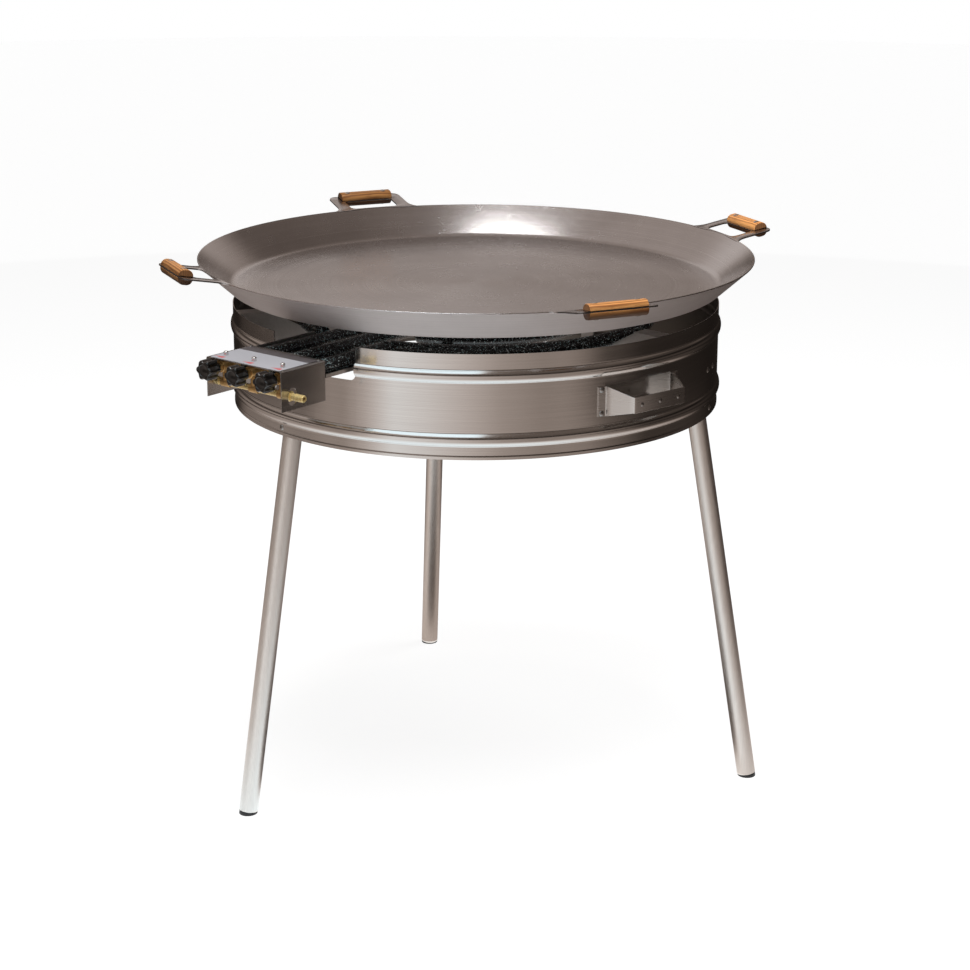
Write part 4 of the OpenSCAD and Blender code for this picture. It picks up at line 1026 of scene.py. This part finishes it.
def carry_handle():
    """A bent strip: curved flanges on the shell, tapering side plates and a flat front plate."""
    bm = bmesh.new()
    shell_r = DRUM_R + CARRY_SHEET / 2
    root = CARRY_ROOT_W / 2
    front_x = DRUM_R + CARRY_REACH - CARRY_SHEET / 2
    root_deg = math.degrees(root / DRUM_R)
    flange_deg = math.degrees(CARRY_FLANGE_W / DRUM_R)
    stations = []
    for i in range(5):
        a = math.radians(root_deg + flange_deg * (1 - i / 4))
        stations.append((shell_r * math.cos(a), shell_r * math.sin(a), CARRY_ROOT_H, CARRY_MID_Z))
    a = math.radians(root_deg - 0.15)
    stations.append((shell_r * math.cos(a) + 1.2, shell_r * math.sin(a), CARRY_ROOT_H, CARRY_MID_Z))
    start = Vector((shell_r * math.cos(a) + 3.2, root - 1.6))
    end = Vector((front_x - 3.0, CARRY_FRONT_HALF + 1.2))
    for i in range(7):
        t = i / 6
        p = start.lerp(end, t)
        stations.append((p.x, p.y, CARRY_ROOT_H + (CARRY_FRONT_H - CARRY_ROOT_H) * t,
                         CARRY_MID_Z - CARRY_DROP * t))
    stations.append((front_x - 0.9, CARRY_FRONT_HALF + 0.1, CARRY_FRONT_H, CARRY_MID_Z - CARRY_DROP))
    stations.append((front_x, CARRY_FRONT_HALF - 2.2, CARRY_FRONT_H, CARRY_MID_Z - CARRY_DROP))
    stations += [(x, -y, h, z) for x, y, h, z in reversed(stations)]
    x, y, h, z = stations[0]
    _, edge = chain(bm, [(x, y, z - h / 2), (x, y, z + h / 2)])
    for x, y, h, z in stations[1:]:
        grown = bmesh.ops.extrude_edge_only(bm, edges=edge)["geom"]
        edge = [g for g in grown if isinstance(g, bmesh.types.BMEdge)
                and all(len(v.link_faces) == 1 for v in g.verts)]
        low, high = sorted(edge[0].verts, key=lambda v: v.co.z)
        low.co, high.co = (x, y, z - h / 2), (x, y, z + h / 2)
    bmesh.ops.recalc_face_normals(bm, faces=bm.faces)
    return bm


carry = carry_handle()
carry_heads = bmesh.new()
carry_rivets = bmesh.new()
small_rivet = rivet_head(*CARRY_RIVET_HEAD)
for k in range(CARRIES):
    deg = CARRY_AZ + 360 * k / CARRIES
    make_piece(f"carry_strip_{k + 1}", stamped(carry, turn(deg)), "stand", "stainless", handle_steel,
               f"carry_handle_{k + 1}", sheet=CARRY_SHEET, edge=0.35, crease_deg=24)
    for side in (-CARRY_SCREW_DEG, CARRY_SCREW_DEG):
        for rise in (-CARRY_SCREW_RISE, CARRY_SCREW_RISE):
            stamp(carry_heads, shell_head, on_shell(deg + side, CARRY_MID_Z + rise, CARRY_SHEET))
    for y in CARRY_RIVET_YS:
        front = shift(DRUM_R + CARRY_REACH, y, CARRY_MID_Z - CARRY_DROP)
        stamp(carry_rivets, small_rivet, turn(deg) @ front @ turn(90, "Y"))
make_piece("carry_screw_heads", carry_heads, "stand", "fastener", shaded_screw_steel, "carry_handle_screws")
make_piece("carry_rivet_heads", carry_rivets, "stand", "fastener", shaded_screw_steel, "carry_handle_rivets")
for form in (carry, small_rivet, shell_head, small_head, dome, tap_body, bonnet, column, saddle,
             knob_form, tail):
    form.free()



# CAD parts that keep their shape
def threes(*stems):
    return [f"{stem}_{k}" for stem in stems for k in (1, 2, 3)]


kept = {
    plate_steel: threes("support_bracket", "leg_socket") + [
        "carry_bars", "burner_spider", "tube_tray", "tray_saddle", "cover_strap"],
    bolt_steel: threes("tap_spindle"),
    brass: threes("tap_plug") + ["injectors"],
}
for finish, names in kept.items():
    for name in names:
        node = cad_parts[name]
        node.data.materials.clear()
        node.data.materials.append(finish)

# Camera at the photograph's viewing angle, in metres
CAMERA_AWAY = 4.0483
CAMERA_UP = 1.7036
CAMERA_TURN_DEG = 39.4
CAMERA_PITCH_DEG = 16.764
CAMERA_YAW_DEG = 0.234
CAMERA_ROLL_DEG = 0.162
CAMERA_LENS = 88.145
CAMERA_SENSOR = 36.0
CAMERA_FAR = 50.0
camera = bpy.data.objects.new("camera", bpy.data.cameras.new("camera"))
scene.collection.objects.link(camera)
camera.data.sensor_width = CAMERA_SENSOR
camera.data.lens = CAMERA_LENS
camera.data.clip_end = CAMERA_FAR
camera.matrix_world = (turn(CAMERA_TURN_DEG) @ shift(0, -CAMERA_AWAY, CAMERA_UP) @ turn(-CAMERA_YAW_DEG)
                       @ turn(90 - CAMERA_PITCH_DEG, "X") @ turn(CAMERA_ROLL_DEG))
scene.camera = camera

# Floor, light and background, in metres
TENT_R = 4.7
TENT_Z = 3.6
TENT_LIFT = 0.006
TENT_AXIS_R = 0.02
FLOOR_R = 12.0
BACKDROP_LIGHT = 0.10
SEEING_RAYS = ("Is Camera Ray", "Is Glossy Ray", "Is Transmission Ray")
scene.view_settings.view_transform = "Standard"


def stage_piece(name, bm, material):
    mesh = bpy.data.meshes.new(name)
    bm.to_mesh(mesh)
    bm.free()
    mesh.materials.append(material)
    obj = bpy.data.objects.new(name, mesh)
    scene.collection.objects.link(obj)
    return obj


def studio_floor():
    """A pale floor that the camera and the metal see as white, with the object's shadow on it."""
    f = Finish("floor", Roughness=0.9, Emission_Strength=1.0)
    tone = f.noise(f.place(), 2.0, 2.0)
    camera_ray, glossy_ray, clear_ray = (f.node("LightPath", out=ray) for ray in SEEING_RAYS)
    seen = camera_ray.math("MAXIMUM", glossy_ray).math("MAXIMUM", clear_ray)
    bm = bmesh.new()
    bmesh.ops.create_circle(bm, cap_ends=True, radius=FLOOR_R, segments=64)
    stage_piece("floor", bm, f.put(
        Base_Color=f.blend(tone, (0.28, 0.28, 0.28, 1), (0.30, 0.30, 0.30, 1)),
        Emission_Color=f.blend(seen, (0, 0, 0, 1), (0.89, 0.89, 0.89, 1))))


# Tones round the set, each with its place in a turn: 0 behind, a quarter on the left, a half at the front
LOW_CARDS = ((0.00, 0.02), (0.10, 0.03), (0.14, 0.22), (0.24, 0.36), (0.29, 0.34), (0.335, 0.29),
             (0.365, 0.52), (0.40, 0.95), (0.44, 0.82), (0.48, 0.63), (0.53, 0.39), (0.58, 0.28),
             (0.64, 0.30), (0.68, 0.18), (0.72, 0.06), (0.80, 0.05), (0.89, 0.01), (1.00, 0.02))
HIGH_CARDS = ((0.00, 0.62), (0.04, 0.68), (0.08, 0.40), (0.12, 0.30), (0.22, 0.28), (0.30, 0.26),
              (0.36, 0.45), (0.43, 0.40), (0.49, 0.12), (0.67, 0.08), (0.72, 0.05), (0.82, 0.05),
              (0.90, 0.14), (0.96, 0.36), (1.00, 0.62))
NEAR_FLOOR = ((0.00, 0.40), (0.20, 0.70), (0.35, 1.30), (0.52, 1.30), (0.62, 1.10), (0.72, 0.70),
              (0.90, 0.40), (1.00, 0.40))


def studio_tent():
    """Grey cards round the set that only reflections see: light at the front left, dark at the right."""
    f = Finish("tent", Roughness=1.0, Base_Color=(0, 0, 0, 1), Specular_IOR_Level=0.0,
               Emission_Strength=1.0)
    x, y, z = f.axes(f.place(rotation=(0, 0, -math.radians(CAMERA_TURN_DEG))))
    way = x.math("ARCTAN2", y * -1) * (1 / FULL_TURN) + 0.5
    low, high, near = (f.node("ValToRGB", {"stops": stops}, {0: way})
                       for stops in (LOW_CARDS, HIGH_CARDS, NEAR_FLOOR))
    away = (x * x + y * y) ** 0.5
    ground = f.blend(f.spread(away, 0.65, 1.5), near, low)
    # The floor that reflections see is dark under the drum: a painted shadow.
    ground = f.blend(f.spread(away, 0.38, 0.46), (0.05, 0.05, 0.05, 1), ground)
    flanks = 1 - f.spread(way, 0.27, 0.32) * f.spread(way, 0.67, 0.60)
    ground = f.blend(f.spread(away, 2.5, 3.1) * flanks * 0.85, ground, (0.01, 0.01, 0.01, 1))
    upper = f.blend(f.spread(z, 1.55, 2.30), f.blend(0.86, high, (0, 0, 0, 1)), high)
    walls = f.blend(f.spread(z, 0.60, 1.30), low, upper)
    sides = f.blend(f.spread(z, 0.01, 0.03), ground, walls)
    roof = f.blend(f.spread(x, -2.2, 1.6), (0.45, 0.45, 0.45, 1), (0.12, 0.12, 0.12, 1))
    panel = f.spread(y, -0.9, -1.2) * f.spread(x, -3.6, -3.0) * f.spread(x, 0.35, 0.05)
    roof = f.blend(panel, roof, (1.5, 1.5, 1.5, 1))
    tone = f.axes(f.blend(f.spread(z, TENT_Z - 0.5, TENT_Z), sides, roof))[0]
    warmed = f.node("CombineColor", None, {
        0: tone * (1.30 - tone * 0.30), 1: tone, 2: tone * (tone * 0.16 + 0.84)})
    half = [(TENT_AXIS_R, TENT_LIFT), (TENT_R, TENT_LIFT), (TENT_R, TENT_Z), (TENT_AXIS_R, TENT_Z)]
    tent = stage_piece("tent", lathe(half, 72), f.put(Emission_Color=warmed))
    tent.visible_camera = False
    tent.visible_diffuse = False
    tent.visible_transmission = False
    tent.visible_shadow = False


def area_light(name, place, aim, size, power, shine=True):
    data = bpy.data.lights.new(name, "AREA")
    data.shape = "RECTANGLE"
    data.size, data.size_y = size
    data.energy = power
    lamp = bpy.data.objects.new(name, data)
    scene.collection.objects.link(lamp)
    lamp.visible_glossy = shine
    lamp.matrix_world = turn(CAMERA_TURN_DEG) @ Matrix.Translation(place) @ (
        (Vector(aim) - Vector(place)).to_track_quat("-Z", "Y").to_matrix().to_4x4())


studio_floor()
studio_tent()
area_light("key_light", (-0.1, -0.9, 3.4), (0, 0, 0.8), (2.0, 2.0), 78, shine=False)
area_light("fill_light", (1.8, 0.8, 3.2), (0, 0, 0.8), (1.4, 1.4), 26, shine=False)
area_light("top_light", (-0.36, 0.03, 3.3), (0, 0, 0.8), (0.5, 0.8), 13)

world = bpy.data.worlds.new("studio")
scene.world = world
world.use_nodes = True
world.cycles.sampling_method = "NONE"
nodes, links = world.node_tree.nodes, world.node_tree.links
backdrop = nodes["Background"]
backdrop.inputs["Color"].default_value = (1, 1, 1, 1)
rays = nodes.new("ShaderNodeLightPath").outputs
seen = rays[SEEING_RAYS[0]]
for ray in SEEING_RAYS[1:]:
    either = nodes.new("ShaderNodeMath")
    either.operation = "MAXIMUM"
    links.new(seen, either.inputs[0])
    links.new(rays[ray], either.inputs[1])
    seen = either.outputs[0]
level = nodes.new("ShaderNodeMapRange")
level.inputs["To Min"].default_value = BACKDROP_LIGHT
level.inputs["To Max"].default_value = 1.0
links.new(seen, level.inputs["Value"])
links.new(level.outputs[0], backdrop.inputs["Strength"])
